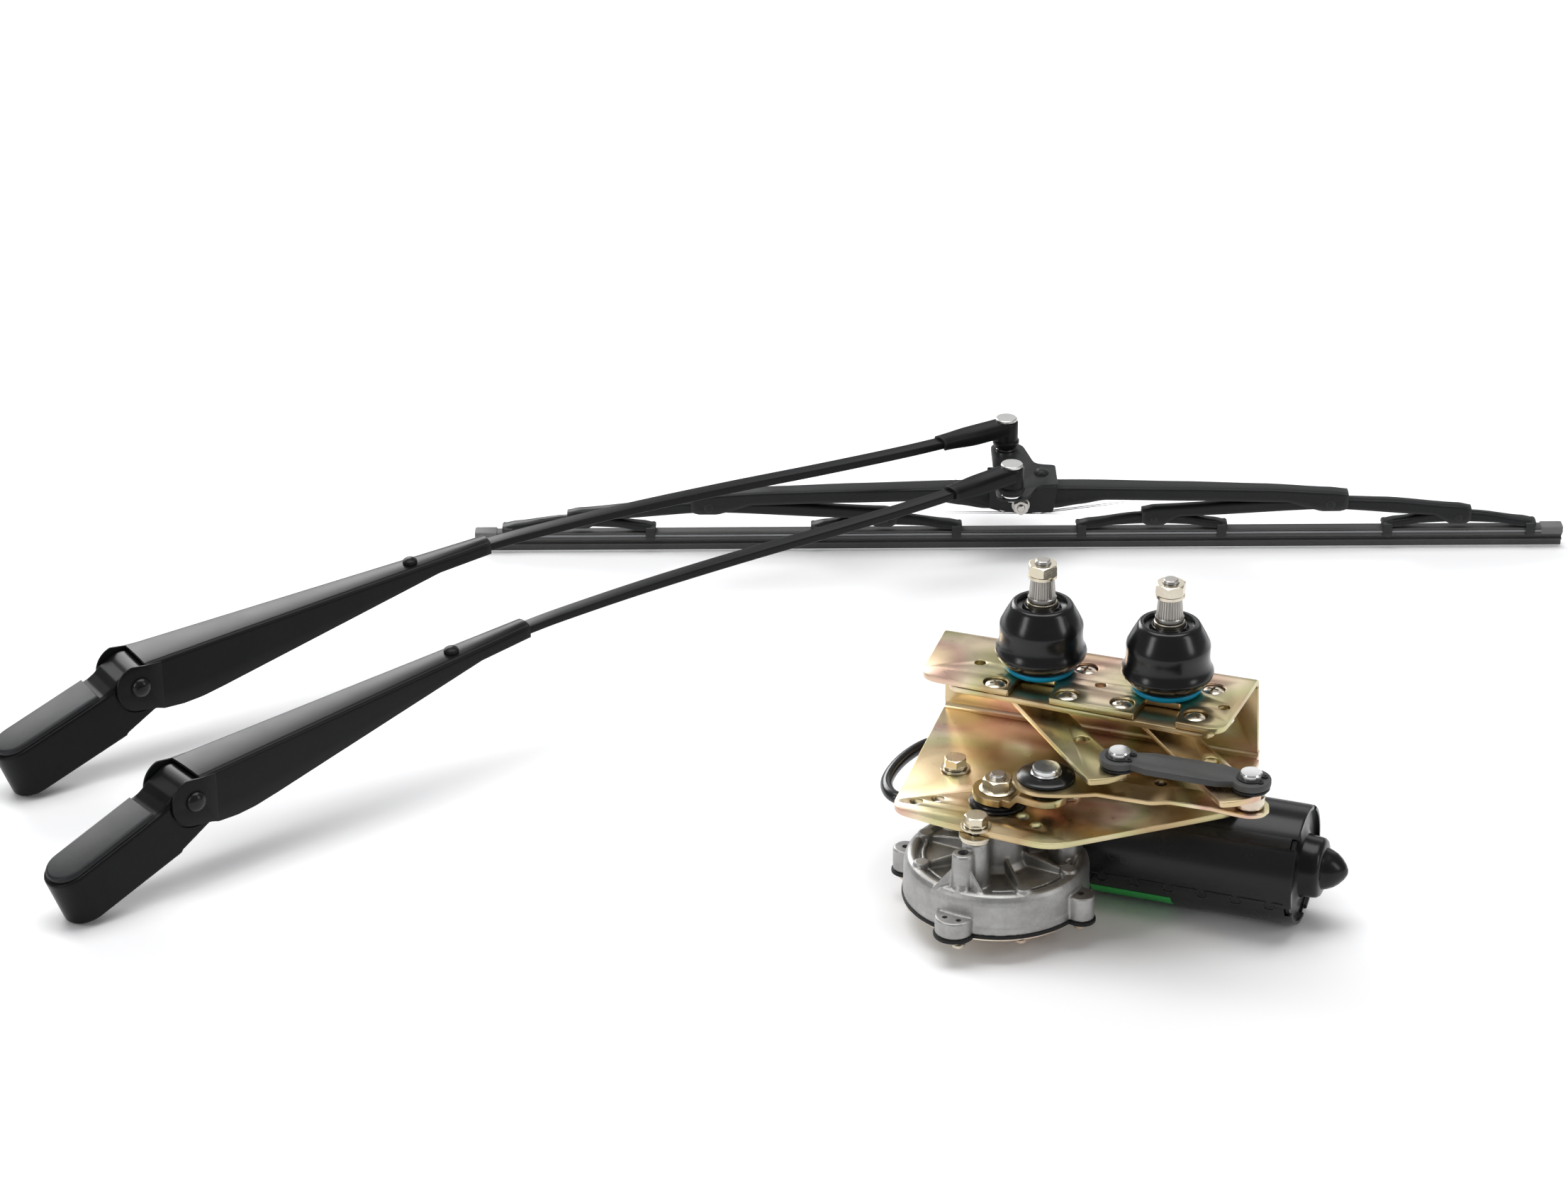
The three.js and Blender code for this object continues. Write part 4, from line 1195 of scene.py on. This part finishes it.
def motor():
    profile = [
        (0, 208.4), (2, 208), (5, 206.4), (8.2, 203.6), (10.6, 200.6), (12.2, 197.2), (13, 194.9),
        (13.6, 193.9), (15.6, 193.5), (17.6, 192.7), (18.8, 191.1), (19.2, 188.5), (19.4, 183.5),
        (20.2, 181.1), (22.4, 179.7), (26, 178.9), (33.4, 178.7), (35, 179.1), (35.2, 181.5), (37.2, 181.5),
        (38, 180.1), (38, 49), (37.4, 48.4), (35, 48.4), (35, 176), (0, 176),
    ]
    place = DRIVE @ MOTOR_AXIS @ ALONG_X
    obj = piece("motor_can_shell", lathe(profile, 120), can_paint, place, "base", "motor_can")
    notch = box_form(177.2, 184, -3.6, 3.6, 33.5, 41)
    notches = [moved(notch, turn("X", angle)) for angle in CRIMP_ANGLES]
    cut_away(obj, gathered(*notches), DRIVE @ MOTOR_AXIS)
    tabs = [
        moved(box_form(177.6, 180.1, -3, 3, 34.4, 36.2), turn("X", angle))
        for angle in CRIMP_ANGLES
    ]
    piece("motor_crimp_tabs", moved(gathered(*tabs), MOTOR_AXIS), can_paint, DRIVE, "base", ())


def can_seam():
    base_angle = math.radians(-14)
    stops = []
    tooth = 21.5
    for k in range(6):
        x = 52 + k * tooth
        for along, across in (
            (0, 0), (5.5, 0), (6.4, -1.6), (4.9, -4.6), (6.6, -6.6), (10, -6.6), (11.7, -4.6), (10.2, -1.6),
            (11.1, 0),
        ):
            stops.append((x + along, base_angle + across / 38))
    stops.append((176.5, base_angle))
    route = [on_can(angle, x, 38.0) for x, angle in stops]
    line = sweep(
        smooth_route(route, 3),
        [(0.6 * math.cos(t), 0.5 * math.sin(t)) for t in (0, 1.05, 2.1, 3.14, 4.2, 5.25)],
    )
    piece("motor_can_seam", line, can_paint, DRIVE, "base", ())


def can_label():
    points, faces = [], []
    rows, columns = 14, 12
    for radius in (38.04, 38.22):
        for i in range(rows + 1):
            for j in range(columns + 1):
                points.append(on_can(math.radians(-68 + 34 * i / rows), 52 + 52 * j / columns, radius))
    layer = (rows + 1) * (columns + 1)
    for i in range(rows):
        for j in range(columns):
            a = i * (columns + 1) + j
            quad = (a, a + 1, a + columns + 2, a + columns + 1)
            faces.append(quad)
            faces.append(tuple(layer + index for index in quad[::-1]))
    rim = [j for j in range(columns + 1)]
    rim += [i * (columns + 1) + columns for i in range(1, rows + 1)]
    rim += [rows * (columns + 1) + j for j in range(columns - 1, -1, -1)]
    rim += [i * (columns + 1) for i in range(rows - 1, 0, -1)]
    faces += [(a, b, b + layer, a + layer) for a, b in zip(rim, rim[1:] + rim[:1])]
    piece("motor_label", (points, faces), label_film, DRIVE, "base", ())


motor()
can_seam()
can_label()

# %% [markdown]
# The lead leaves a gland on the worm tunnel, loops out round the plate's edge, and comes back to a plug
# below the plate. It is held at both ends, so it keeps the shape of the CAD route.

# %% Lead
def lead():
    stops = [
        (-50.2, 62, 43), (-56, 61, 44), (-60, 50, 51), (-58, 34, 58), (-62, 22, 61), (-70, 17, 62),
        (-78, 22, 62), (-84, 34, 62), (-85, 50, 63), (-82, 68, 64), (-75, 84, 65), (-63, 96, 66),
        (-52, 99, 68), (-46.6, 99, 68),
    ]
    section = [(4 * math.cos(t), 4 * math.sin(t)) for t in [2 * math.pi * i / 24 for i in range(24)]]
    piece(
        "lead_cable", sweep(smooth_route(stops, 10), section), lead_jacket, DRIVE, "base", "lead",
        60,
    )
    collar = lathe([(0, -46.2), (6.4, -46.2), (6.6, -47.4), (5.4, -48), (5, -51.4), (0, -51.4)][::-1], 40)
    collar = moved(collar, shift(0, 62, 43) @ ALONG_X)
    piece("lead_grommet", collar, gasket_rubber, DRIVE, "base", "lead_gland")
    outline = rounded([(-46, 90.4, 2), (-24.2, 90.4, 2), (-24.2, 107.8, 2), (-46, 107.8, 2)])
    shell = plate(outline, 61.2, 76.6, (), 1.2)
    ribs = [box_form(x, x + 1.2, 89.9, 108.3, 62.6, 75.4) for x in (-42, -38.6, -35.2)]
    piece(
        "lead_plug", gathered(shell, *ribs), black_plastic, DRIVE, "base", "lead_connector",
    )


lead()

# %% [markdown]
# Each arm starts as a sheet steel channel, open below, that narrows from the hinge to a rivet. Below the
# rivet its walls fold into a sleeve that grips a flat rod, and the rod ends in an eye on the blade's pin.

# %% Arms
CHANNEL_START, CHANNEL_END = 435, 699


def channel_top(along):
    return 96.5 - (along - CHANNEL_START) * 18.1 / 264


def channel_half(along):
    return 7.4 + (along - CHANNEL_START) * 10.6 / 264


def channel_low(along):
    deep = [(435, 87.3), (476, 84), (644, 46.6), (660, 43.4), (674, 42.2), (688, 42.8), (699, 46.4)]
    for (x0, z0), (x1, z1) in zip(deep, deep[1:]):
        if along <= x1:
            return z0 + (z1 - z0) * (along - x0) / (x1 - x0)
    return deep[-1][1]


def arm_channel(side):
    stations = []
    for i in range(73):
        along = CHANNEL_START + (CHANNEL_END - CHANNEL_START) * i / 72
        stations.append((along, channel_half(along), channel_top(along), channel_low(along)))
    sheet = folded_sheet(stations, 1.7, 3.4, 7, 0.5)
    lobe = [Vector((688, 44)), Vector((695, 44.6))]
    lobe += [
        Vector((HINGE.x + 17 * math.cos(a), HINGE.z + 17 * math.sin(a)))
        for a in [math.radians(-88 + 158 * i / 30) for i in range(31)]
    ]
    lobe += [Vector((699, 77.6)), Vector((688, 77.6))]
    cheeks = []
    for low, high in ((-18, -16.3), (16.3, 18)):
        flat = plate(lobe, low, high, [circle(HINGE.x, HINGE.z, 3.8)], 0.4)
        cheeks.append(moved(flat, turn("X", math.pi / 2)))
    rivet = lathe([(0, 0.2), (5, 0.2), (5.1, 0.8), (4.6, 2.2), (3.2, 3.2), (1.6, 3.6), (0, 3.7)], 40)
    rivet = moved(rivet, shift(494, 0, channel_top(494) + 0.4) @ turn("Y", 0.0685))
    piece(f"arm_channel_{side}_sheet", gathered(sheet, *cheeks, rivet), arm_paint, ARM[side], f"arm_{side}",
          f"arm_channel_{side}", 30)


ROD_ROUTE = [
    (40, 77), (90, 78.2), (160, 81.6), (240, 86.4), (320, 90), (390, 91.4), (440, 90.6), (528, 84.6),
]


def arm_rod(side):
    section = []
    for x, y, sx, sy in ((4.5, 1.9, 1, 1), (4.5, 1.9, -1, 1), (4.5, 1.9, -1, -1), (4.5, 1.9, 1, -1)):
        for k in range(5):
            t = math.pi / 2 * (k / 4 if sx * sy > 0 else 1 - k / 4)
            section.append((sx * (x + 0.8 * math.cos(t)), sy * (y + 0.8 * math.sin(t))))
    route = smooth_route([(along, 0, z) for along, z in ROD_ROUTE], 8)
    rod = sweep(route, section)
    piece(
        f"arm_rod_{side}_bar", rod, arm_paint, ARM[side], f"arm_{side}", f"arm_rod_{side}", 40,
    )
    stations = []
    for i in range(25):
        along = -1 + 60 * i / 24
        flare = ease(along, 30, 59)
        stations.append((along, 8.3 - 1.2 * flare, 82.2 - 0.5 * flare, 72.6 + 1.6 * flare))
    sleeve = folded_sheet(stations, 1.8, 3.2, 6, 0.4)
    boss = lathe([(4.4, 61), (8, 61), (8.8, 61.8), (8.8, 80.6), (8.2, 81.5), (4.4, 81.5)], 48)
    filler = plate(rounded([(0, -6, 2), (52, -5, 1), (52, 5, 1), (0, 6, 2)]), 74, 80, (), 0.6)
    collar = lathe([(4.4, 63.4), (9.4, 63.4), (9.8, 64), (9.8, 66.2), (9.4, 66.8), (4.4, 66.8)], 48)
    piece(
        f"arm_sleeve_{side}_sheet", gathered(sleeve, filler, boss, collar), arm_paint, ARM[side],
        f"arm_{side}", (), 35,
    )


def arm_spring(side):
    start, end = Vector((680, 0, 58)), Vector((566, 0, 74.5))
    axis = (end - start).normalized()
    across = Vector((0, 1, 0))
    up = axis.cross(across)
    length = (end - start).length
    turns = 34
    coil = []
    for i in range(turns * 14 + 1):
        t = i / (turns * 14)
        angle = 2 * math.pi * turns * t
        centre = start + axis * (12 + (length - 30) * t)
        coil.append(centre + 5 * (across * math.cos(angle) + up * math.sin(angle)))
    wire = [(1.05 * math.cos(t), 1.05 * math.sin(t)) for t in [2 * math.pi * i / 7 for i in range(7)]]
    straight = [start - axis * 3, start + axis * 4, start + axis * 11]
    tail = [end - axis * 18, end - axis * 8, end]
    form = gathered(sweep(coil, wire), sweep(straight, wire), sweep(tail, wire))
    piece(
        f"arm_spring_{side}_wire", form, bright_steel, ARM[side], f"arm_{side}", f"arm_spring_{side}",
        60,
    )


def hinge_pin(side):
    dome = [(7, 18), (7, 18.5), (6.4, 19.9), (5, 21.3), (2.8, 22.2), (0, 22.5)]
    rod = [(radius, -along) for radius, along in dome[::-1]] + [(3.7, -18), (3.7, 18)] + dome
    place = ARM[side] @ Matrix.Translation(HINGE) @ ALONG_Y
    piece(
        f"hinge_pin_{side}_rivet", lathe(rod, 48), can_paint, place, f"arm_{side}", f"hinge_pin_{side}",
        35,
    )


for side in ("rear", "front"):
    arm_channel(side)
    arm_rod(side)
    arm_spring(side)
    hinge_pin(side)

# %% [markdown]
# The head is a casting that hinges in the arm: a tongue between the arm's cheeks, a hump over the pin,
# and a flat body that clamps on the spindle. A loose plastic cover with a fine grain hides the nut.

# %% Heads
def head_outline(start, half, length, steps=20):
    end = length - half
    points = [(start, -half)]
    points += [
        (end + half * math.cos(t), half * math.sin(t))
        for t in [-math.pi / 2 + math.pi * i / steps for i in range(steps + 1)]
    ]
    points.append((start, half))
    return points


def head(side):
    body = plate(head_outline(22, 16.6, 104), -27.4, 7.2, (), 1.4)
    flank = [
        (-15, -14.5), (-12, -18.5), (-4, -21.5), (24, -26.6), (34, -26.6), (34, 7.2), (16, 7.4), (-2, 4),
        (-15, -6),
    ]
    shoulder = moved(plate(flank, -16.5, 16.5, (), 1.2), turn("X", math.pi / 2))
    tongue_side = [
        (-10, -13), (0, -13.2), (24, -24), (34, -24), (34, 7.6), (24, 7.8), (17, 9.4), (12.6, 11.6),
        (0, 13), (-10, 9),
    ]
    tongue = moved(plate(tongue_side, -15.2, 15.2, (), 1.2), turn("X", math.pi / 2))
    hump = moved(
        lathe([(0, -15.3), (12, -15.3), (13.2, -14.2), (13.2, 14.2), (12, 15.3), (0, 15.3)], 60), ALONG_Y,
    )
    obj = piece(
        f"head_casting_{side}_body", gathered(body, shoulder, tongue, hump), arm_paint, HEAD[side],
        f"head_{side}", f"head_casting_{side}", 30,
    )
    cast_skin(obj, 0.7, 4)
    bore = lathe([(0, -40), (8.2, -40), (7.6, -9), (7.6, 2), (11.5, 2.1), (11.5, 12), (0, 12)], 48)
    hinge_hole = moved(lathe([(0, -30), (3.9, -30), (3.9, 30), (0, 30)], 32), ALONG_Y)
    rooms = [
        moved(lathe([(0, low), (18.6, low), (18.6, high), (0, high)], 96), ALONG_Y)
        for low, high in ((-25, -15.5), (15.5, 25))
    ]
    cut_away(obj, moved(bore, shift(78, 0, 0)), HEAD[side])
    for tool in (hinge_hole, *rooms):
        cut_away(obj, tool, HEAD[side])


def head_cover(side):
    """A thin lid with rounded shoulders, standing a little back from the casting's edge."""
    outline = head_outline(27, 14.6, 101.4, 28)
    points, faces = [], []
    rings = ((0.0, 7.4), (0.05, 8.6), (0.4, 9.8), (1.3, 10.5), (2.6, 10.75))
    outline = [Vector(p) for p in outline]
    count = len(outline)
    for inset, height in rings:
        for i, point in enumerate(outline):
            before, after = outline[i - 1], outline[(i + 1) % count]
            along = (after - before).normalized()
            inward = Vector((-along.y, along.x))
            points.append(Vector((*(point + inward * inset), height)))
    for ring in range(len(rings) - 1):
        for i in range(count):
            j = (i + 1) % count
            a, b = ring * count, (ring + 1) * count
            faces.append((a + i, a + j, b + j, b + i))
    top = (len(rings) - 1) * count
    faces.append(tuple(range(top, top + count)))
    faces.append(tuple(range(count))[::-1])
    piece(
        f"head_cover_{side}_lid", (points, faces), head_plastic, HEAD[side], f"head_{side}",
        f"head_cover_{side}", 40,
    )


for side in ("rear", "front"):
    head(side)
    head_cover(side)

# %% [markdown]
# The blade: a carrier plate joins both arms to the main bridge. The bridge carries two smaller bridges,
# each with two yokes, so eight claws share the load along the rubber.

# %% Blade carrier
def blade_carrier():
    plan = rounded([
        (-19, 57, 9), (4, 57, 9), (12, 20, 6), (27, 17.4, 3), (27, -17.4, 3), (12, -19, 6), (3, -42.5, 9),
        (-19, -42.5, 9),
    ])
    holes = [circle(TIP_PIN[side][0], TIP_PIN[side][1], 4.2) for side in TIP_PIN]
    top = plate(plan, 56.6, 58.9, holes, 0.5)
    skirt_outline = rounded(
        [(-23, 57.4, 1), (-23, 40.4, 3), (-9, 36, 12), (12, 35.6, 12), (24, 37.2, 3), (27, 57.4, 1)]
    )
    skirts = []
    for y in (-17.2, 14.8):
        flat = plate(skirt_outline, 0, 2.4, [circle(0, 43, 3.3)], 0.4)
        skirts.append(moved(flat, shift(0, y + 2.4, 0) @ turn("X", math.pi / 2)))
    rivet = lathe([(0, 58.6), (5.4, 58.6), (5.4, 59.4), (4.6, 61), (2.8, 62.1), (0, 62.4)], 40)
    rivet = moved(rivet, shift(16, 3, 0))
    lip = box_form(24, 27, -14.8, 14.8, 55.4, 57)
    piece(
        "blade_carrier_sheet", gathered(top, *skirts, rivet, lip), blade_paint, WIPER, "base",
        "blade_carrier",
    )


blade_carrier()


def tip_pin(side):
    x, y = TIP_PIN[side]
    place = WIPER @ shift(x, y, 0)
    stem = lathe([(0, 55.4), (4.8, 55.4), (5, 55.6), (5, 56.5), (4, 56.5), (4, 82), (0, 82)], 40)
    seat = washer(7.4, 4, 59, 60.6)
    cap = lathe([(0, 81.9), (7.4, 81.9), (7.9, 82.3), (7.9, 83.7), (7.3, 84.3), (0, 84.4)], 56)
    piece(
        f"tip_pin_{side}_steel", gathered(stem, seat), bright_steel, place, "base", f"tip_pin_{side}",
    )
    piece(f"tip_pin_{side}_cap", cap, ground_steel, place, "base", ())


for side in ("rear", "front"):
    tip_pin(side)


def pivot_bolt():
    place = WIPER @ shift(0, 0, 43) @ ALONG_Y @ turn("X", math.pi)
    head_end = hex_form(10, -22.2, -18)
    stem = threaded(3, -18, 26, 1.0, 0.3)
    ring = washer(6.6, 3, 17.4, 19)
    nut = hex_form(10, 19.2, 24.2, 3, True)
    inner = washer(6.2, 3, -18.6, -17.3)
    piece(
        "pivot_bolt_steel", gathered(head_end, stem, ring, nut, inner), spline_steel, place, "base",
        "pivot_bolt",
    )


pivot_bolt()

# %% [markdown]
# The bridges and yokes are folded channels, so each is one sheet whose height follows a few stops along
# its length. Pins with small heads join them.

# %% Bridges and yokes
def between(stops, along):
    """The value at a place along a list of (place, value) stops, eased so that the line bends smoothly."""
    for (x0, v0), (x1, v1) in zip(stops, stops[1:]):
        if along <= x1:
            t = max(0, (along - x0) / (x1 - x0))
            return v0 + (v1 - v0) * (t * t * (3 - 2 * t) * 0.5 + t * 0.5)
    return stops[-1][1]


def channel(start, end, top, low, half, wall, crown, steps=110):
    stations = []
    for i in range(steps + 1):
        along = start + (end - start) * i / steps
        stations.append((along, between(half, along), between(top, along), between(low, along)))
    return folded_sheet(stations, wall, 2.2, 5, crown)


def cross_pin(x, z, half_width, radius, cap):
    profile = [
        (0, -half_width - 1.3), (cap * 0.6, -half_width - 1.1), (cap, -half_width - 0.3),
        (cap, -half_width), (radius, -half_width), (radius, half_width), (cap, half_width),
        (cap, half_width + 0.3), (cap * 0.6, half_width + 1.1), (0, half_width + 1.3),
    ]
    return moved(lathe(profile, 28), shift(x, 0, z) @ ALONG_Y)


def both_ways(stops):
    return [(-x, value) for x, value in stops[::-1]] + [stop for stop in stops if stop[0] != 0]


SECONDARY_X = 228
YOKE_X = (99, 323)
CLAWS = {"inner": (46, 149), "outer": (271, 376)}


def main_bridge():
    top = both_ways([(0, 52.2), (40, 52), (120, 50.3), (180, 48.6), (228, 45.8), (241, 44.4)])
    low = both_ways([
        (0, 36), (26, 36), (44, 39), (62, 42.2), (130, 40.6), (196, 38.6), (214, 33), (222, 31), (236, 31),
        (241, 33),
    ])
    half = both_ways([(0, 8.6), (60, 8.6), (241, 6.3)])
    sheet = channel(-241, 241, top, low, half, 1.2, 0.4, 160)
    boss = lathe([(3.4, -13.5), (6.2, -13.5), (6.5, -13.2), (6.5, 13.2), (6.2, 13.5), (3.4, 13.5)], 40)
    boss = moved(boss, shift(0, 0, 43) @ ALONG_Y)
    pins = [cross_pin(x, 36, 6.4, 2.1, 3.6) for x in (-SECONDARY_X, SECONDARY_X)]
    piece(
        "main_bridge_sheet", gathered(sheet, boss, *pins), blade_paint, WIPER, "blade", "main_bridge",
    )


main_bridge()


def secondary_bridge(side, sign):
    near, far = YOKE_X
    top = [
        (near - 9, 31.6), (near, 33.4), (SECONDARY_X - 40, 38.4), (SECONDARY_X, 39.8),
        (SECONDARY_X + 40, 38.4), (far, 33.4), (far + 9, 31.6),
    ]
    low = [
        (near - 9, 22), (near - 5, 19.6), (near + 6, 19.6), (near + 18, 26.8), (SECONDARY_X, 32.2),
        (far - 18, 26.8), (far - 6, 19.6), (far + 5, 19.6), (far + 9, 22),
    ]
    half = [(near - 9, 4.8), (far + 9, 4.8)]
    sheet = channel(near - 9, far + 9, top, low, half, 1.1, 0.3)
    pins = [cross_pin(x, 24, 4.8, 1.6, 2.8) for x in YOKE_X]
    form = gathered(sheet, *pins)
    place = WIPER @ (turn("Z", math.pi) if sign < 0 else Matrix.Identity(4))
    body = f"secondary_{side}"
    piece(
        f"secondary_{side}_sheet", form, blade_paint, place, body, f"secondary_bridge_{side}",
    )


def claw(x):
    """Two fingers that fold under the rubber's head."""
    fingers = []
    for sign in (-1, 1):
        route = [(4.2, 21), (6.0, 19.6), (6.5, 17.6), (6.5, 12.2), (5.8, 10.5), (3.6, 10.1)]
        outer = [Vector((sign * y, z)) for y, z in route]
        inner = [
            Vector((sign * y, z))
            for y, z in ((2.7, 11.4), (4.8, 11.5), (5.3, 12.4), (5.3, 17.2), (4.9, 18.6), (3.2, 19.8))
        ]
        outline = [(p.x, p.y) for p in outer + inner]
        if area_of(outline) < 0:
            outline = outline[::-1]
        flat = plate(outline, -3.4, 3.4, (), 0.25)
        fingers.append(moved(flat, shift(x, 0, 0) @ turn("Z", math.pi / 2) @ turn("X", math.pi / 2)))
    return fingers


def yoke(side, place_name, sign):
    near, far = CLAWS[place_name]
    pivot = YOKE_X[0] if place_name == "inner" else YOKE_X[1]
    top = [
        (near - 4, 20.6), (near + 6, 22.8), (pivot - 14, 27.8), (pivot, 28.8), (pivot + 14, 27.8),
        (far - 6, 22.8), (far + 4, 20.6),
    ]
    low = [
        (near - 4, 17.4), (near + 8, 17.6), (near + 22, 20), (pivot, 21), (far - 22, 20), (far - 8, 17.6),
        (far + 4, 17.4),
    ]
    half = [
        (near - 4, 5.6), (near + 6, 5.2), (pivot - 16, 3.7), (pivot + 16, 3.7), (far - 6, 5.2),
        (far + 4, 5.6),
    ]
    sheet = channel(near - 4, far + 4, top, low, half, 1, 0.3, 70)
    form = gathered(sheet, *claw(near), *claw(far))
    place = WIPER @ (turn("Z", math.pi) if sign < 0 else Matrix.Identity(4))
    name = f"yoke_{side}_{place_name}"
    piece(f"{name}_sheet", form, blade_paint, place, name, name)


for side, sign in (("left", -1), ("right", 1)):
    secondary_bridge(side, sign)
    for place_name in CLAWS:
        yoke(side, place_name, sign)

# %% [markdown]
# The rubber is cut into lengths with one shared section: a length held by a yoke rides with it, and a
# length between two parts is left on no body, so it stays where it is.

# %% Rubber
RUBBER_HALF = 400
NEAR_CLAW, INNER_CLAW = CLAWS["inner"]
OUTER_CLAW = CLAWS["outer"][0]
BETWEEN_YOKES, NEAR_MIDDLE = 210, 23


def rubber_section():
    half = [
        (0, 0.1), (0.35, 0.1), (0.45, 0.5), (0.75, 4.6), (3.1, 5.5), (3.3, 6.2), (1.1, 6.9), (0.9, 7.8),
        (3.4, 9.4), (3.6, 11.2), (4.6, 11.6), (4.75, 12.1), (4.1, 12.5), (4.1, 14.2), (4.75, 14.6),
        (4.6, 15.7), (4, 16),
    ]
    left = [(-y, z) for y, z in half[::-1]]
    return half + left[:-1]


def rail_section(sign):
    corners = [(2.6, 12.6), (5.05, 12.6), (5.25, 12.8), (5.25, 14), (5.05, 14.2), (2.6, 14.2)]
    points = [(sign * y, z) for y, z in corners]
    return points if sign > 0 else points[::-1]


def prism(section, start, end, steps):
    count = len(section)
    points, faces = [], []
    for i in range(steps + 1):
        x = start + (end - start) * i / steps
        points += [Vector((x, y, z)) for y, z in section]
    for i in range(steps):
        for j in range(count):
            k = (j + 1) % count
            a, b = i * count, (i + 1) * count
            faces.append((a + j, a + k, b + k, b + j))
    faces += [tuple(range(count))[::-1], tuple(range(steps * count, (steps + 1) * count))]
    return points, faces


def rubber_length(name, sign, far, near, body=None, blend=None):
    start, end = sorted((sign * far, sign * near))
    strips = (
        (f"{name}_strip", [rubber_section()], wiper_rubber),
        (f"{name}_rails", [rail_section(-1), rail_section(1)], rail_steel),
    )
    for piece_name, sections, material in strips:
        form = gathered(*[prism(section, start, end, 12) for section in sections])
        obj = piece(piece_name, form, material, WIPER, body, "wiper_rubber")
        if blend:
            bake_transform(obj)


for side, sign in (("left", -1), ("right", 1)):
    second = f"secondary_{side}"
    outer, inner = f"yoke_{side}_outer", f"yoke_{side}_inner"
    rubber_length(f"rubber_{side}_end", sign, RUBBER_HALF, OUTER_CLAW, outer)
    rubber_length(f"rubber_{side}_outer", sign, OUTER_CLAW, BETWEEN_YOKES, None, (outer, second))
    rubber_length(f"rubber_{side}_inner", sign, BETWEEN_YOKES, INNER_CLAW, None, (second, inner))
    rubber_length(f"rubber_{side}_yoke", sign, INNER_CLAW, NEAR_CLAW, inner)
    rubber_length(f"rubber_{side}_near", sign, NEAR_CLAW, NEAR_MIDDLE, None, (inner, second))
    rubber_length(f"rubber_{side}_middle", sign, NEAR_MIDDLE, 0, None, (second, "blade"))
    outline = rounded([(384, -5.6, 1.5), (400.4, -5.6, 2), (400.4, 5.6, 2), (384, 5.6, 1.5)])
    heading = turn("Z", math.pi) if sign < 0 else Matrix.Identity(4)
    cap = moved(plate(outline, 11, 16.7, (), 0.8), heading)
    piece(f"rubber_{side}_end_cap", cap, grey_plastic, WIPER, outer, "wiper_rubber")

# %% [markdown]
# The camera looks down at the row from in front, far back with a long lens, so that the shapes stay
# nearly free of perspective. It rolls by a fraction of a degree.

# %% Camera
CAMERA_AT = Vector((-131.1, -2298.5, 1356.4))
PITCH_DOWN, ROLL = 0.4561, -0.0057
LENS = 97.65


def camera():
    forward = Vector((0, math.cos(PITCH_DOWN), -math.sin(PITCH_DOWN)))
    right = Vector((1, 0, 0))
    up = right.cross(forward)
    rolled_right = right * math.cos(ROLL) + up * math.sin(ROLL)
    rolled_up = up * math.cos(ROLL) - right * math.sin(ROLL)
    matrix = Matrix((rolled_right, rolled_up, -forward)).transposed().to_4x4()
    matrix.translation = CAMERA_AT * MM
    data = bpy.data.cameras.new("view")
    data.lens = LENS
    data.sensor_width = 36
    data.clip_end = 60
    obj = bpy.data.objects.new("view", data)
    obj.matrix_world = matrix
    bpy.context.scene.collection.objects.link(obj)
    bpy.context.scene.camera = obj


camera()

# %% [markdown]
# Catalogue light: one large soft light overhead, two from behind that draw bright edges, a weak one at
# each side, and a nearly white floor.

# %% Floor and light
def floor():
    mesh = bpy.data.meshes.new("floor")
    reach = 14
    mesh.from_pydata([
        (-reach, -reach, -0.0005), (reach, -reach, -0.0005), (reach, reach, -0.0005),
        (-reach, reach, -0.0005),
    ], [], [(0, 1, 2, 3)])
    obj = bpy.data.objects.new("floor", mesh)
    bpy.context.scene.collection.objects.link(obj)
    material = bpy.data.materials.new("floor_paint")
    material.use_nodes = True
    shader = material.node_tree.nodes["Principled BSDF"]
    shader.inputs["Base Color"].default_value = (0.93, 0.93, 0.935, 1)
    shader.inputs["Roughness"].default_value = 0.9
    shader.inputs["Specular IOR Level"].default_value = 0.1
    mesh.materials.append(material)
    return obj


def soft_light(name, place, aim, width, height, power):
    data = bpy.data.lights.new(name, "AREA")
    data.shape = "RECTANGLE"
    data.size, data.size_y = width, height
    data.energy = power
    obj = bpy.data.objects.new(name, data)
    obj.location = place
    obj.rotation_euler = (Vector(aim) - Vector(place)).to_track_quat("-Z", "Y").to_euler()
    bpy.context.scene.collection.objects.link(obj)
    return obj


lights = [
    soft_light("overhead", (-0.1, 0.3, 2.3), (-0.1, 0.2, 0), 2.6, 1.4, 46),
    soft_light("behind_arms", (-1.5, 2.8, 1.5), (-0.4, 0.2, 0.1), 2.1, 1.1, 66),
    soft_light("behind_drive", (1.1, 2.8, 1.5), (0.1, 0.1, 0.1), 2.2, 1.1, 7.5),
    soft_light("left", (-2.3, -1.3, 1.3), (-0.1, 0.2, 0), 0.6, 1.5, 15),
    soft_light("right", (2.2, -1.0, 1.3), (0.1, 0.1, 0), 0.6, 1.5, 12),
]
world = bpy.data.worlds.new("room")
world.use_nodes = True
world.node_tree.nodes["Background"].inputs["Color"].default_value = (0.95, 0.96, 0.98, 1)
world.node_tree.nodes["Background"].inputs["Strength"].default_value = 0.3
bpy.context.scene.world = world
bpy.context.scene.view_settings.view_transform = "Standard"
floor()
